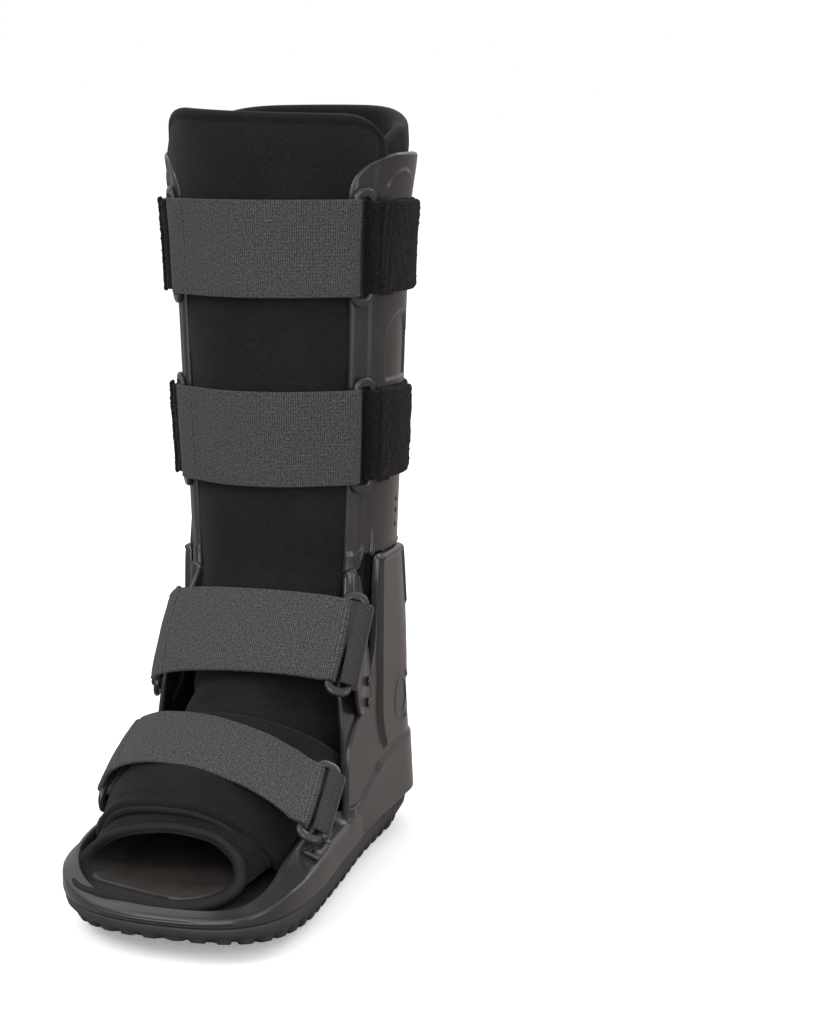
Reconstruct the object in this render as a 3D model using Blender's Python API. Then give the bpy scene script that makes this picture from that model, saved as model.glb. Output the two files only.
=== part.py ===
"""Tall walking boot for the right foot: rocker sole, hard shell, two uprights, padded liner, four straps.

Metres, +Z up.  The toe points to -Y and the inner ankle is at +X.  The origin lies on the floor,
straight under the middle of the leg.
"""
import bpy
import numpy as np

# Sole and shell
toe_reach = 0.224            # leg axis to the toe end of the shell
heel_reach = 0.079           # leg axis to the heel end of the shell
inner_ball_width = 0.067     # leg axis to the inner edge at the ball of the foot
outer_ball_width = 0.073     # leg axis to the outer edge at the ball of the foot
heel_half_width = 0.0555
toe_round = 0.072            # length of the rounded toe end
heel_round = 0.048           # length of the rounded heel end
toe_skew = 0.010             # how far the tip of the toe leans to the inner side
sole_height = 0.0220         # top of the rubber
toe_spring = 0.0125          # rubber raised off the floor at the toe
heel_spring = 0.0090         # rubber raised off the floor at the heel
floor_plate = 0.0030         # thickness of the shell's floor
edge_wall = 0.0110           # upright band of the shell's edge, above the rubber
toe_rim_rise = 0.0085        # rim above the top of the rubber at the toe
ball_rim_rise = 0.0230       # rim above the top of the rubber beside the ball
rim_band_inner = 0.0150      # width of the sloped rim along the inner side
rim_band_outer = 0.0060      # width of the sloped rim along the outer side
rim_band_toe = 0.0170        # width of the sloped rim round the toe
shell_wall = 0.0032
wall_front = 0.0780          # front edge of the tall walls, ahead of the leg axis
wall_swell = 0.0026          # tall walls standing out past the heel's half width at the bottom
cup_lean = 0.16              # share of the heel's reach that the walls lean in up to the joint line
flange_drop = 0.0090         # the uprights' front flange ends this far below the joint line
joint_height = 0.1815        # line between the shell's columns and the uprights
column_half_width = 0.0590   # outer face of the columns at the joint line
piece_gap = 0.0004           # clearance between neighbouring pieces
seat_gap = 0.0003            # clearance where one piece lies on another
cloth_gap = 0.0008           # clearance between layers of cloth, and round the leg

# Leg and liner
leg_half_width = 0.0520      # outside of the liner above the ankle, side to side
liner_height = 0.4320        # top edge of the liner in front
liner_wall = 0.0070
foot_pad = 0.0042            # liner wall round the foot
shin_flap_wall = 0.0028
toe_flap_wall = 0.0030
insole_thickness = 0.0026
insole_round = 0.034         # length of the insole's rounded toe end
insole_share = 0.72          # insole's width as a share of the room inside the liner

# Uprights and straps
upright_top = 0.4100
upright_wall = 0.0032
strap_width = 0.0540
strap_thickness = 0.0026
pile_thickness = 0.0024      # fuzzy loop band
ring_bar = 0.0034            # thickness of a ring's bar
ring_opening = 0.0090        # clear space between a ring's two long bars
ring_margin = 0.0062         # ring standing out past each edge of the strap
top_strap_height = 0.3575    # middle of the top strap
calf_strap_height = 0.2515   # middle of the second strap
top_ring_turn = -34.5        # where the top strap's rings sit, in degrees from the side of the leg
calf_ring_turn = -32.5       # where the second strap's rings sit, likewise
tab_thickness = 0.0022
ankle_tab_reach = 0.0210     # ankle tab's rear edge behind the top of its ring
foot_tab_taper = -0.0030     # forefoot tab's foot narrower than its ring, at each end
foot_tab_lap = 0.0105        # how far the forefoot tabs lie on the rim
rivet_place = 0.68           # rivets' place across the riveted strip of a tab
rivet_radius = 0.0030
rivet_head = 0.0014
disc_radius = 0.0125
disc_thickness = 0.0016
disc_height = 0.0885         # middle of the disc above the floor
disc_place = 0.250           # middle of the disc behind the leg axis, as a share of heel_reach
ankle_strap_ends = (0.42, 0.05)   # radians that the ankle strap stops short of half a turn, inner and outer
foot_strap_ends = (0.28, 0.08)    # the same for the forefoot strap

rubber_top = sole_height - seat_gap
floor_top = sole_height + floor_plate
sole_length = toe_reach + heel_reach
SIDES = ((1, "inner"), (-1, "outer"))


def columns(rows, at):
    """Read a table with named columns at places 'at' of its first column, on a smooth curve."""
    rows = np.array(rows, float)
    key, values = rows[:, 0], rows[:, 1:]
    slopes = np.gradient(values, key, axis=0)
    at = np.clip(np.asarray(at, float), key[0], key[-1])
    cell = np.clip(np.searchsorted(key, at, side="right") - 1, 0, len(key) - 2)
    width = (key[cell + 1] - key[cell])
    share = ((at - key[cell]) / width)[..., None]
    width = width[..., None]
    blend = share * share * (3 - 2 * share)
    rise = share * (1 - share) ** 2 * width
    fall = share * share * (share - 1) * width
    return (values[cell] * (1 - blend) + values[cell + 1] * blend
            + slopes[cell] * rise + slopes[cell + 1] * fall)


def material(name, colour, roughness):
    made = bpy.data.materials.new(name)
    made.use_nodes = True
    shader = made.node_tree.nodes["Principled BSDF"]
    shader.inputs["Base Color"].default_value = (*colour, 1)
    shader.inputs["Roughness"].default_value = roughness
    made.diffuse_color = (*colour, 1)
    return made


def add_object(name, points, faces, finish):
    """Put points and faces into a mesh object, turned so that its faces point outwards."""
    points = np.asarray(points, float).reshape(-1, 3)
    volume = 0.0
    for face in faces:
        corner = points[list(face)]
        for k in range(1, len(corner) - 1):
            volume += np.dot(corner[0], np.cross(corner[k], corner[k + 1]))
    if volume < 0:
        faces = [tuple(reversed(face)) for face in faces]
    mesh = bpy.data.meshes.new(name)
    mesh.from_pydata(points.tolist(), [], faces)
    mesh.materials.append(finish)
    mesh.shade_smooth()
    mesh.set_sharp_from_angle(angle=np.radians(40))
    made = bpy.data.objects.new(name, mesh)
    bpy.context.scene.collection.objects.link(made)
    return made


def quads(rows, cols, wrap_rows=False, wrap_cols=False, start=0):
    """Faces of a grid of points that is numbered row by row."""
    made = []
    for r in range(rows if wrap_rows else rows - 1):
        for c in range(cols if wrap_cols else cols - 1):
            r2, c2 = (r + 1) % rows, (c + 1) % cols
            made.append((start + r * cols + c, start + r * cols + c2,
                         start + r2 * cols + c2, start + r2 * cols + c))
    return made


def ladder(count, start, flip):
    """Close a ring whose points pair up across its middle line, with rungs from side to side."""
    half = count // 2
    made = []
    for k in range(half):
        face = [start + k, start + k + 1, start + (count - k - 1) % count, start + (count - k) % count]
        face = [p for i, p in enumerate(face) if p not in face[:i]]
        made.append(tuple(reversed(face)) if flip else tuple(face))
    return made


def stacked_rings(name, rings, finish):
    """A solid from rings of points, each ring closed, the first and the last closed by rungs."""
    count = len(rings[0])
    faces = quads(len(rings), count, wrap_cols=True)
    faces += ladder(count, 0, True) + ladder(count, (len(rings) - 1) * count, False)
    return add_object(name, np.concatenate(rings), faces, finish)


def sleeve(name, outer, inner, finish):
    """A tube wall between two grids whose rows are closed rings."""
    rows, cols = outer.shape[:2]
    loop = np.concatenate([outer, inner[::-1]])
    return add_object(name, loop, quads(2 * rows, cols, wrap_rows=True, wrap_cols=True), finish)


def plate(name, outer, inner, finish):
    """A curved plate between two open grids, closed along its four edges."""
    rows, cols = outer.shape[:2]
    loop = np.concatenate([outer, inner[:, ::-1]], axis=1)
    faces = quads(rows, 2 * cols, wrap_cols=True)
    ends = []
    for k in range(cols - 1):
        for start, flip in ((0, True), ((rows - 1) * 2 * cols, False)):
            face = (start + k, start + k + 1, start + 2 * cols - k - 2, start + 2 * cols - k - 1)
            ends.append(tuple(reversed(face)) if flip else face)
    return add_object(name, loop, faces + ends, finish)


def grid_normals(grid, outward):
    """Unit normals of an open grid, from its two directions, on the side of 'outward'."""
    down = np.gradient(grid, axis=0)
    across = np.gradient(grid, axis=1)
    normal = np.cross(across, down)
    normal /= np.linalg.norm(normal, axis=-1, keepdims=True)
    return normal if np.sum(normal * outward) > 0 else -normal


def thick_plate(name, grid, thickness, finish, outward):
    """A plate of even thickness whose back is 'grid' and whose face lies towards 'outward'."""
    return plate(name, grid + grid_normals(grid, outward) * thickness, grid, finish)


def join_solids(name, pieces):
    """Unite overlapping solids into the first one."""
    body = pieces[0]
    body.name = name
    for piece in pieces[1:]:
        cut = body.modifiers.new("join", "BOOLEAN")
        cut.operation = "UNION"
        cut.solver = "EXACT"
        cut.object = piece
        piece.hide_render = True
        piece.display_type = "WIRE"
    return body


# Plan of the sole.  Columns: share of the way from toe to heel, inner width and outer width,
# each as a share between the heel's half width (0) and the ball's width (1).
SOLE_WIDTHS = (
    (0.00, 0.93, 0.80),
    (0.14, 1.00, 0.97),
    (0.27, 1.02, 1.00),
    (0.40, 0.70, 0.76),
    (0.52, 0.46, 0.42),
    (0.66, 0.12, 0.14),
    (0.80, 0.00, 0.02),
    (1.00, 0.00, 0.00),
)
OUTLINE_ROWS = 34


def sole_plan(inset=0.0):
    """Closed outline of the shell's edge: x and y from the toe tip round the inner side and back.

    The widths come from the table, times a rounded end at the toe and at the heel.  'inset' moves
    each point inwards, at right angles to the outline.
    """
    turn = np.linspace(0, np.pi, OUTLINE_ROWS + 1)
    way = (1 - np.cos(turn)) / 2
    y = -toe_reach + way * sole_length
    toe = np.clip((toe_round - way * sole_length) / toe_round, 0, 1)
    heel = np.clip((heel_round - (1 - way) * sole_length) / heel_round, 0, 1)
    end = (1 - toe ** 2.5) ** (1 / 2.5) * (1 - heel ** 3.0) ** (1 / 3.0)
    share = columns(SOLE_WIDTHS, way)
    inner = heel_half_width + (inner_ball_width - heel_half_width) * share[:, 0]
    outer = heel_half_width + (outer_ball_width - heel_half_width) * share[:, 1]
    lean = toe_skew * toe ** 2
    right = np.stack([inner * end + lean, y], axis=1)
    left = np.stack([-outer * end + lean, y], axis=1)
    ring = np.concatenate([right, left[-2:0:-1]])
    inset = np.broadcast_to(inset, len(ring))[:, None]
    ahead = np.roll(ring, -1, axis=0) - np.roll(ring, 1, axis=0)
    ahead /= np.linalg.norm(ahead, axis=1, keepdims=True)
    return ring + np.stack([-ahead[:, 1], ahead[:, 0]], axis=1) * inset


def raise_ring(ring, z):
    return np.column_stack([ring, np.broadcast_to(z, len(ring))])


def rocker(y):
    """Height of the rubber's underside: flat in the middle, curving up to the toe and the heel."""
    toe = np.clip((-y - 0.42 * toe_reach) / (0.58 * toe_reach), 0, 1)
    heel = np.clip((y - 0.45 * heel_reach) / (0.55 * heel_reach), 0, 1)
    return toe_spring * toe ** 1.8 + heel_spring * heel ** 1.6


# Rim of the shell.  Columns: share from toe to heel, height between the toe's rise (0) and the
# ball's rise (1).
RIM_RISE = ((0.00, 0.00), (0.10, 0.14), (0.20, 0.62), (0.27, 0.90), (0.36, 1.00), (0.52, 0.94), (1.00, 0.90))


def rim_height(y):
    rise = columns(RIM_RISE, (y + toe_reach) / sole_length)[..., 0]
    return sole_height + toe_rim_rise + (ball_rim_rise - toe_rim_rise) * rise


def rim_band():
    """Width of the sloped rim at each point of the plan: wide at the toe and along the inner side."""
    plan = sole_plan()
    toe = np.clip(1 - (plan[:, 1] + toe_reach) / (0.8 * toe_round), 0, 1) ** 0.7
    inner = np.clip(0.5 + plan[:, 0] / heel_half_width, 0, 1)
    side = rim_band_outer + (rim_band_inner - rim_band_outer) * inner
    back = np.clip((plan[:, 1] + wall_front + 0.008) / 0.016, 0, 1)
    side = side + (shell_wall * 0.4 - side) * back
    return side + (rim_band_toe - side) * toe


def make_outsole(rubber):
    """Rubber sole: side wall leaning in towards the tread, and a rocker underside."""
    rings = []
    for inset, share in ((0.0130, 0.0), (0.0075, 0.05), (0.0060, 0.34), (0.0020, 0.62), (0.0008, 1.0)):
        ring = sole_plan(inset)
        low = rocker(ring[:, 1])
        rings.append(raise_ring(ring, low + (rubber_top - low) * share))
    return stacked_rings("outsole", rings, rubber)


def make_tray(plastic):
    """The shell's floor and its edge: upright band, sloped rim, inner wall."""
    band = rim_band()
    edge = sole_plan()
    lip = rim_height(edge[:, 1])
    low_edge = np.minimum(sole_height + edge_wall, lip - 0.0022)
    wall = shell_wall * 0.8
    rings = [raise_ring(sole_plan(0.0015), sole_height)]
    rings.append(raise_ring(edge, sole_height + 0.0020))
    rings.append(raise_ring(edge, low_edge))
    rings.append(raise_ring(sole_plan(band * 0.25 + 0.0003), low_edge + (lip - low_edge) * 0.45))
    rings.append(raise_ring(sole_plan(band), lip))
    rings.append(raise_ring(sole_plan(band + wall), lip - 0.0008))
    rings.append(raise_ring(sole_plan(band + wall + 0.0008), floor_top))
    return stacked_rings("tray", rings, plastic)


# Side of the tall walls.  Columns: share of the way from the wall's front edge to the back of the
# heel, top of the wall as a share between the rim (0) and the joint line (1).
WALL_TOP = (
    (0.000, 0.27), (0.012, 0.34), (0.040, 0.39), (0.100, 0.44), (0.170, 0.47), (0.240, 0.51),
    (0.300, 0.57), (0.340, 0.66), (0.365, 0.82), (0.380, 0.99), (0.390, 1.00), (0.530, 1.00),
    (0.700, 1.00), (0.715, 0.96), (0.740, 0.80), (0.770, 0.66), (0.810, 0.55), (0.880, 0.47),
    (1.000, 0.44),
)


def wall_point(share, z, inset):
    """A point of the tall wall: 'share' of the way from its front edge to the back of the heel.

    The wall follows the heel's outline at the rim and narrows or widens evenly to the columns.
    """
    lift = np.clip((z - sole_height) / (joint_height - sole_height), 0, 1)
    back = heel_reach * (1 - cup_lean * lift) - inset
    half = heel_half_width + wall_swell + (column_half_width - heel_half_width - wall_swell) * lift ** 1.5
    y = -wall_front + (back + wall_front) * share
    length = heel_round * (1 + 0.35 * lift)
    end = np.clip((length - (back - y)) / length, 0, 1)
    power = 3.0 - 0.6 * lift
    return np.stack([(half - inset) * (1 - end ** power) ** (1 / power), y, z], axis=-1)


def make_walls(plastic):
    """Tall side walls with their columns, joined behind the heel."""
    shares = np.array(sorted({row[0] for row in WALL_TOP} | {0.56, 0.90, 0.94, 0.97, 0.985, 0.995}))
    top = sole_height + (joint_height - sole_height) * np.interp(shares, *zip(*WALL_TOP))
    foot = sole_height + 0.5 * edge_wall
    levels = np.linspace(0, 1, 7)[:, None]
    z = foot + (top - foot) * levels
    faces = []
    for inset in (0.0, shell_wall):
        side = wall_point(np.broadcast_to(shares, z.shape), z, inset)
        mirrored = side[:, -2::-1] * (-1, 1, 1)
        faces.append(np.concatenate([side, mirrored], axis=1))
    return plate("walls", faces[0], faces[1], plastic)


# Liner.  Columns: share of the way down from the top of the leg, round the ankle and out to the
# toes; y and z of the front or upper point; y and z of the back or lower point; half width;
# squareness of the section's lower half; sideways shift; how far the sides lag behind the middle.
# Lengths are shares of: toe_reach and heel_reach for y ahead and behind, leg_half_width for the
# width and the shift, toe_reach for the lag.  Heights run from 0 at the shell's floor over 1 at
# the joint line to 2 at the liner's top in front.
LINER_SECTIONS = (
    # way  y front z front y back z back  width  square shift  bow
    (0.00, -0.282, 2.0000,  0.800,  2.0207, 1.222, 2.00,  0.000, 0.000),
    (0.04, -0.288, 1.9310,  0.820,  1.9396, 1.238, 2.00,  0.000, 0.000),
    (0.12, -0.277, 1.7931,  0.800,  1.7931, 1.155, 2.00,  0.000, 0.000),
    (0.25, -0.263, 1.5568,  0.775,  1.5568, 1.098, 2.00,  0.000, 0.000),
    (0.34, -0.257, 1.3964,  0.760,  1.3964, 1.070, 2.00,  0.000, 0.000),
    (0.48, -0.245, 1.1032,  0.740,  1.1032, 1.000, 2.00,  0.000, 0.000),
    (0.55, -0.253, 0.9306,  0.735,  0.8892, 0.965, 2.05,  0.000, 0.000),
    (0.60, -0.303, 0.8064,  0.735,  0.6132, 0.950, 2.10,  0.000, 0.000),
    (0.65, -0.354, 0.7125,  0.755,  0.3509, 0.940, 2.30,  0.000, 0.000),
    (0.70, -0.406, 0.6270,  0.710,  0.0942, 0.935, 2.80,  0.000, 0.000),
    (0.75, -0.455, 0.5359,  0.300,  0.0059, 0.935, 4.00, -0.020, 0.000),
    (0.80, -0.505, 0.4613, -0.150,  0.0059, 0.950, 4.80, -0.067, 0.000),
    (0.86, -0.580, 0.3979, -0.400,  0.0059, 0.962, 5.00, -0.115, 0.010),
    (0.92, -0.655, 0.3233, -0.600,  0.0059, 0.952, 5.00, -0.163, 0.045),
    (0.97, -0.720, 0.2433, -0.780,  0.0280, 0.923, 4.80, -0.192, 0.095),
    (1.00, -0.752, 0.1881, -0.900,  0.0445, 0.894, 4.50, -0.225, 0.130),
)
LINER_WAYS = np.array([0, 0.015, 0.04, 0.12, 0.25, 0.36, 0.48, 0.53, 0.57, 0.60, 0.64, 0.68, 0.71, 0.74,
                       0.775, 0.81, 0.86, 0.91, 0.945, 0.968, 1.0])


def leg_level(share):
    """Height for a share that is 0 at the shell's floor, 1 at the joint line, 2 at the liner's top."""
    low, high = np.minimum(share, 1), np.maximum(share - 1, 0)
    return floor_top + low * (joint_height - floor_top) + high * (liner_height - joint_height)


def liner_point(way, around, lift=0.0):
    """A point on the liner: 'way' down the leg and along the foot, 'around' its section in turns.

    Each section lies in the plane through its front point and its back point, square to X.  Around
    it, 0 is the inner side, 0.25 the front or top, 0.5 the outer side and 0.75 the back or sole.
    'lift' stands the point off the liner's outside, or into its wall when negative.
    """
    way, around = np.broadcast_arrays(np.asarray(way, float), np.asarray(around, float))
    lift = np.broadcast_to(lift, way.shape)
    row = columns(LINER_SECTIONS, way)
    reach = lambda share: np.where(share < 0, share * toe_reach, share * heel_reach)
    front = np.stack([reach(row[..., 0]), leg_level(row[..., 1])], -1)
    back = np.stack([reach(row[..., 2]), leg_level(row[..., 3])], -1)
    middle = (front + back) / 2
    axis = (front - back) / 2
    length = np.linalg.norm(axis, axis=-1)
    axis = axis / length[..., None]
    half = row[..., 4] * leg_half_width
    cos, sin = np.cos(2 * np.pi * around), np.sin(2 * np.pi * around)
    power = np.where(sin > 0, 1.0, 2 / row[..., 5])
    side = np.sign(cos) * np.abs(cos) ** power
    x = (half + lift) * side + row[..., 6] * leg_half_width
    u = (length + lift) * np.sign(sin) * np.abs(sin) ** power
    y = middle[..., 0] + axis[..., 0] * u + row[..., 7] * toe_reach * np.abs(side) ** 2.5
    return np.stack([x, y, middle[..., 1] + axis[..., 1] * u], -1)


def liner_thickness(way):
    """Wall of the liner: full on the leg, thinner round the foot."""
    share = np.clip((np.asarray(way) - 0.60) / 0.16, 0, 1)
    return liner_wall + (foot_pad - liner_wall) * share


def make_liner(cloth):
    """Padded sock for leg and foot, open at the top and at the toes."""
    ways = LINER_WAYS[:, None]
    around = np.linspace(0, 1, 29)[:-1][None]
    outer = liner_point(ways, around)
    inner = liner_point(ways, around, -liner_thickness(ways))
    return sleeve("liner", outer, inner, cloth)


def make_shin_flap(cloth):
    """Front flap that closes the liner over the shin."""
    ways = LINER_WAYS[LINER_WAYS < 0.61][:, None]
    spread = np.linspace(-1, 1, 13)[None]
    corner = np.clip((0.035 - ways) / 0.035, 0, 1)
    reach = 0.235 - 0.055 * corner ** 2 - 0.045 * np.clip((ways - 0.1) / 0.3, 0, 1)
    around = 0.25 + spread * reach
    clear = cloth_gap + seat_gap * np.clip((0.13 - ways) / 0.04, 0, 2)
    back = liner_point(ways, around, clear)
    face = liner_point(ways, around, clear + shin_flap_wall)
    return plate("shin_flap", face, back, cloth)


def make_toe_flap(cloth):
    """Outer flap that closes the liner over the forefoot."""
    ways = LINER_WAYS[(LINER_WAYS > 0.80) & (LINER_WAYS < 0.97)][:, None]
    spread = np.linspace(-1, 1, 15)[None]
    around = 0.25 + spread * 0.225
    back = liner_point(ways, around, cloth_gap)
    face = liner_point(ways, around, cloth_gap + toe_flap_wall)
    return plate("toe_flap", face, back, cloth)


def make_insole(foam):
    """Flat insole lying on the sole of the liner, round at the toes."""
    ways = np.array([0.775, 0.81, 0.86, 0.91, 0.945, 0.968, 0.98, 0.99, 0.996])[:, None]
    row = columns(LINER_SECTIONS, ways[:, 0])
    y = liner_point(ways[:, 0], 0.75)[:, 1]
    ahead = np.clip(1 - (y - y[-1]) / insole_round, 0, 1) * 0.93
    half = insole_share * (1 - ahead ** 2.4) ** (1 / 2.4)
    across = np.linspace(-1, 1, 7) * half[:, None]
    turn = np.arcsin(np.sign(across) * np.abs(across) ** (row[:, 5:6] / 2)) / (2 * np.pi)
    back = liner_point(ways, 0.75 + turn, -foot_pad - cloth_gap)
    return plate("insole", back + (0, 0, insole_thickness), back, foam)


# Upright.  Columns: share of its height from the joint line; front edge and back edge in degrees
# round the leg from the side.
UPRIGHT_EDGES = (
    (0.000, -40, 25),
    (0.130, -40, 22),
    (0.450, -40, 20),
    (0.600, -40, 20),
    (0.780, -41, 23),
    (0.880, -42, 27),
    (0.925, -41, 28),
    (0.960, -36, 27),
    (0.985, -26, 24),
    (1.000, -13, 17),
)


def leg_round(turn, z, lift):
    """A point beside the leg: 'turn' degrees from the side towards the back, 'lift' off the liner."""
    point = liner_point(way_at_height(z), (-np.asarray(turn, float) / 360) % 1, lift)
    point[..., 2] = z
    return point


def way_at_height(z):
    """Share of the way along the liner where its section lies at height z on the leg."""
    ways = np.linspace(0, 0.55, 60)
    heights = leg_level(columns(LINER_SECTIONS, ways)[:, 1])
    return np.interp(-np.asarray(z, float), -heights, ways)


def mirror(grid, side):
    return grid * (side, 1, 1)


def make_upright(side, name, plastic):
    """Curved bar beside the leg, with a front flange that reaches lower than its face."""
    low = joint_height + piece_gap
    rows = np.array([0, 0.04, 0.13, 0.28, 0.45, 0.6, 0.78, 0.88, 0.925, 0.955, 0.975, 0.99, 1.0])
    edges = columns(UPRIGHT_EDGES, rows)
    z = low + (upright_top - low) * rows
    spread = np.linspace(0, 1, 9)
    turn = edges[:, :1] + (edges[:, 1:2] - edges[:, :1]) * spread
    z = np.repeat(z[:, None], 9, 1)
    z[0, :2] -= flange_drop
    lift = shin_flap_wall + 2 * cloth_gap
    back = leg_round(turn, z, lift)
    face = leg_round(turn, z, lift + upright_wall)
    return plate(name, mirror(face, side), mirror(back, side), plastic)


def band_round(height, first, last, steps, lift, thickness, width, tilt=0.0):
    """A strap's stretch round the leg, from one turn angle to another, as face and back grids."""
    turn = np.linspace(first, last, steps)[None]
    rise = np.linspace(width / 2, -width / 2, 3)[:, None]
    z = height + rise + 0 * turn
    return leg_round(turn, z, lift + thickness), leg_round(turn, z, lift)




def calf_strap(number, height, ring_turn, webbing, pile, plastic):
    """Front webbing, back pile band and two rings of a strap round the calf."""
    over_shell = shin_flap_wall + 3 * cloth_gap + upright_wall
    reach = ring_opening / 2 + ring_bar + piece_gap
    past = np.degrees(reach / (leg_half_width + over_shell))
    first, last = ring_turn - past, -180 - ring_turn + past
    face, back = band_round(height, first, last, 15, over_shell, strap_thickness, strap_width)
    plate("strap_%d_front" % number, face, back, webbing)
    first, last = ring_turn + past, 180 - ring_turn - past
    face, back = band_round(height, first, last, 21, over_shell, pile_thickness, strap_width * 0.97)
    plate("strap_%d_back" % number, face, back, pile)
    for side, name in SIDES:
        make_leg_ring("strap_%d_ring_%s" % (number, name), side, height, ring_turn, over_shell, plastic)


def make_leg_ring(name, side, height, ring_turn, lift, plastic):
    """Flat ring with round corners, standing upright beside a calf strap's end."""
    middle = leg_round(ring_turn, np.array(height), lift + ring_bar / 2)
    ahead = leg_round(ring_turn - 2, np.array(height), lift) - leg_round(ring_turn + 2, np.array(height), lift)
    upward = leg_round(ring_turn, np.array(height + 0.02), lift) - leg_round(ring_turn, np.array(height - 0.02), lift)
    upward /= np.linalg.norm(upward)
    ahead -= upward * np.dot(ahead, upward)
    ahead /= np.linalg.norm(ahead)
    make_ring(name, mirror(middle, side), mirror(ahead, side), mirror(upward, side), strap_width, plastic)


def make_ring(name, middle, ahead, upward, width, plastic):
    """Ring: a bar of six sides carried round a long rounded rectangle, in the plane of two directions."""
    outward = np.cross(ahead, upward)
    half_long = width / 2 + ring_margin - ring_bar / 2
    half_short = (ring_opening + ring_bar) / 2
    corner = half_short * 0.8
    path = []
    for k in range(16):
        angle = 2 * np.pi * (k + 0.5) / 16
        cx = np.sign(np.cos(angle)) * (half_short - corner)
        cy = np.sign(np.sin(angle)) * (half_long - corner)
        path.append((cx + corner * np.cos(angle), cy + corner * np.sin(angle)))
    path = np.array(path)
    away = np.array([(np.cos(2 * np.pi * (k + 0.5) / 16), np.sin(2 * np.pi * (k + 0.5) / 16))
                     for k in range(16)])
    loops = []
    for k in range(6):
        turn = 2 * np.pi * k / 6
        flat = path + away * np.cos(turn) * ring_bar / 2
        depth = np.sin(turn) * ring_bar / 2
        loops.append(middle + flat[:, :1] * ahead + flat[:, 1:] * upward + depth * outward)
    grid = np.stack(loops, axis=1)
    return add_object(name, grid, quads(16, 6, wrap_rows=True, wrap_cols=True), plastic)


# Wing of the shell beside the ankle, from the column's foot up to the upright's flange.
# Columns: height as a share of joint_height; y of its front and rear edge as shares of toe_reach;
# x of the inner face at the front and the rear edge as shares of leg_half_width.
WING_ROWS = (
    (0.370, -0.344, -0.312, 1.045, 1.045),
    (0.460, -0.344, -0.295, 1.038, 1.045),
    (0.550, -0.340, -0.255, 1.005, 1.045),
    (0.650, -0.330, -0.205, 0.972, 1.036),
    (0.770, -0.268, -0.156, 0.925, 1.000),
    (0.870, -0.210, -0.132, 0.870, 0.970),
    (0.938, -0.172, -0.126, 0.822, 0.927),
)


def make_wing(side, plastic):
    """Thin wing that carries the ankle strap's ring and meets the upright's flange."""
    rows = np.array(WING_ROWS)
    spread = np.linspace(0, 1, 3)
    y = (rows[:, 1:2] + (rows[:, 2:3] - rows[:, 1:2]) * spread) * toe_reach
    x = (rows[:, 3:4] + (rows[:, 4:5] - rows[:, 3:4]) * spread) * leg_half_width
    z = np.repeat(rows[:, :1], 3, 1) * joint_height
    grid = mirror(np.stack([x, y, z], -1), side)
    return thick_plate("wing", grid, shell_wall - 0.0004, plastic, np.array([side, 0, 0]))


def make_disc(side, name, plastic):
    """Plain round disc lying on the shell beside the heel."""
    radius = disc_radius * np.array([1.0, 0.55, 0.08])[:, None]
    turn = np.linspace(0, 2 * np.pi, 19)[:-1][None]
    y = disc_place * heel_reach + radius * np.cos(turn)
    z = disc_height + radius * np.sin(turn)
    share = (y + wall_front) / (heel_reach + wall_front)
    rings = []
    for lift, order in ((seat_gap, (2, 1, 0)), (seat_gap + disc_thickness, (0, 1, 2))):
        face = wall_point(share, z, -lift)
        rings += [mirror(face[k], side) for k in order]
    return stacked_rings("shell_disc_%s" % name, rings, plastic)


# Straps over the ankle and the forefoot, an edge a row.  Columns: x, y and z of the inner end, the
# middle and the outer end, as shares of leg_half_width for x, toe_reach for y, joint_height for z.
ANKLE_STRAP = (
    (1.070, -0.254, 0.880, 0.000, -0.312, 0.920, -1.060, -0.196, 0.863),
    (1.070, -0.400, 0.652, 0.000, -0.442, 0.694, -1.060, -0.335, 0.612),
)
FOOT_STRAP = (
    (1.120, -0.530, 0.415, -0.200, -0.500, 0.566, -1.130, -0.440, 0.450),
    (1.150, -0.700, 0.285, -0.126, -0.655, 0.455, -1.165, -0.625, 0.350),
)


def strap_edge(row, turn, squareness):
    """A strap's edge: half a squarish ellipse from the inner end over the middle to the outer end."""
    ends = np.array(row).reshape(3, 3) * (leg_half_width, toe_reach, joint_height)
    centre = (ends[0] + ends[2]) / 2
    across = np.sign(np.cos(turn)) * np.abs(np.cos(turn)) ** squareness
    over = np.sin(turn) ** squareness
    return centre + across[:, None] * (ends[0] - ends[2]) / 2 + over[:, None] * (ends[1] - centre)


def over_foot_strap(number, edges, squareness, short, webbing, plastic):
    """Webbing over the foot with a ring at each end.  Returns the rings' rear bars by side."""
    turn = np.linspace(short[0], np.pi - short[1], 17)
    upper, lower = strap_edge(edges[0], turn, squareness), strap_edge(edges[1], turn, squareness)
    back = np.stack([upper, (upper + lower) / 2, lower])
    thick_plate("strap_%d_front" % number, back, strap_thickness, webbing, np.array([0, -1, 1]))
    bars = {}
    for (side, name), end in zip(SIDES, (0, -1)):
        inward = 1 if end == 0 else -2
        upward = upper[end] - lower[end]
        width = np.linalg.norm(upward)
        upward /= width
        ahead = back[1, inward] - back[1, end]
        ahead -= upward * np.dot(ahead, upward)
        ahead /= np.linalg.norm(ahead)
        outward = np.cross(ahead, upward)
        outward *= np.sign(outward[0]) * side / np.linalg.norm(outward)
        reach = ring_opening / 2 + ring_bar + piece_gap
        middle = back[1, end] - ahead * reach + outward * strap_thickness / 2
        make_ring("strap_%d_ring_%s" % (number, name), middle, ahead, upward, width, plastic)
        rear = middle - ahead * reach
        bars[side] = (rear + upward * width * 0.46, rear - upward * width * 0.46)
    return bars


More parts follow.
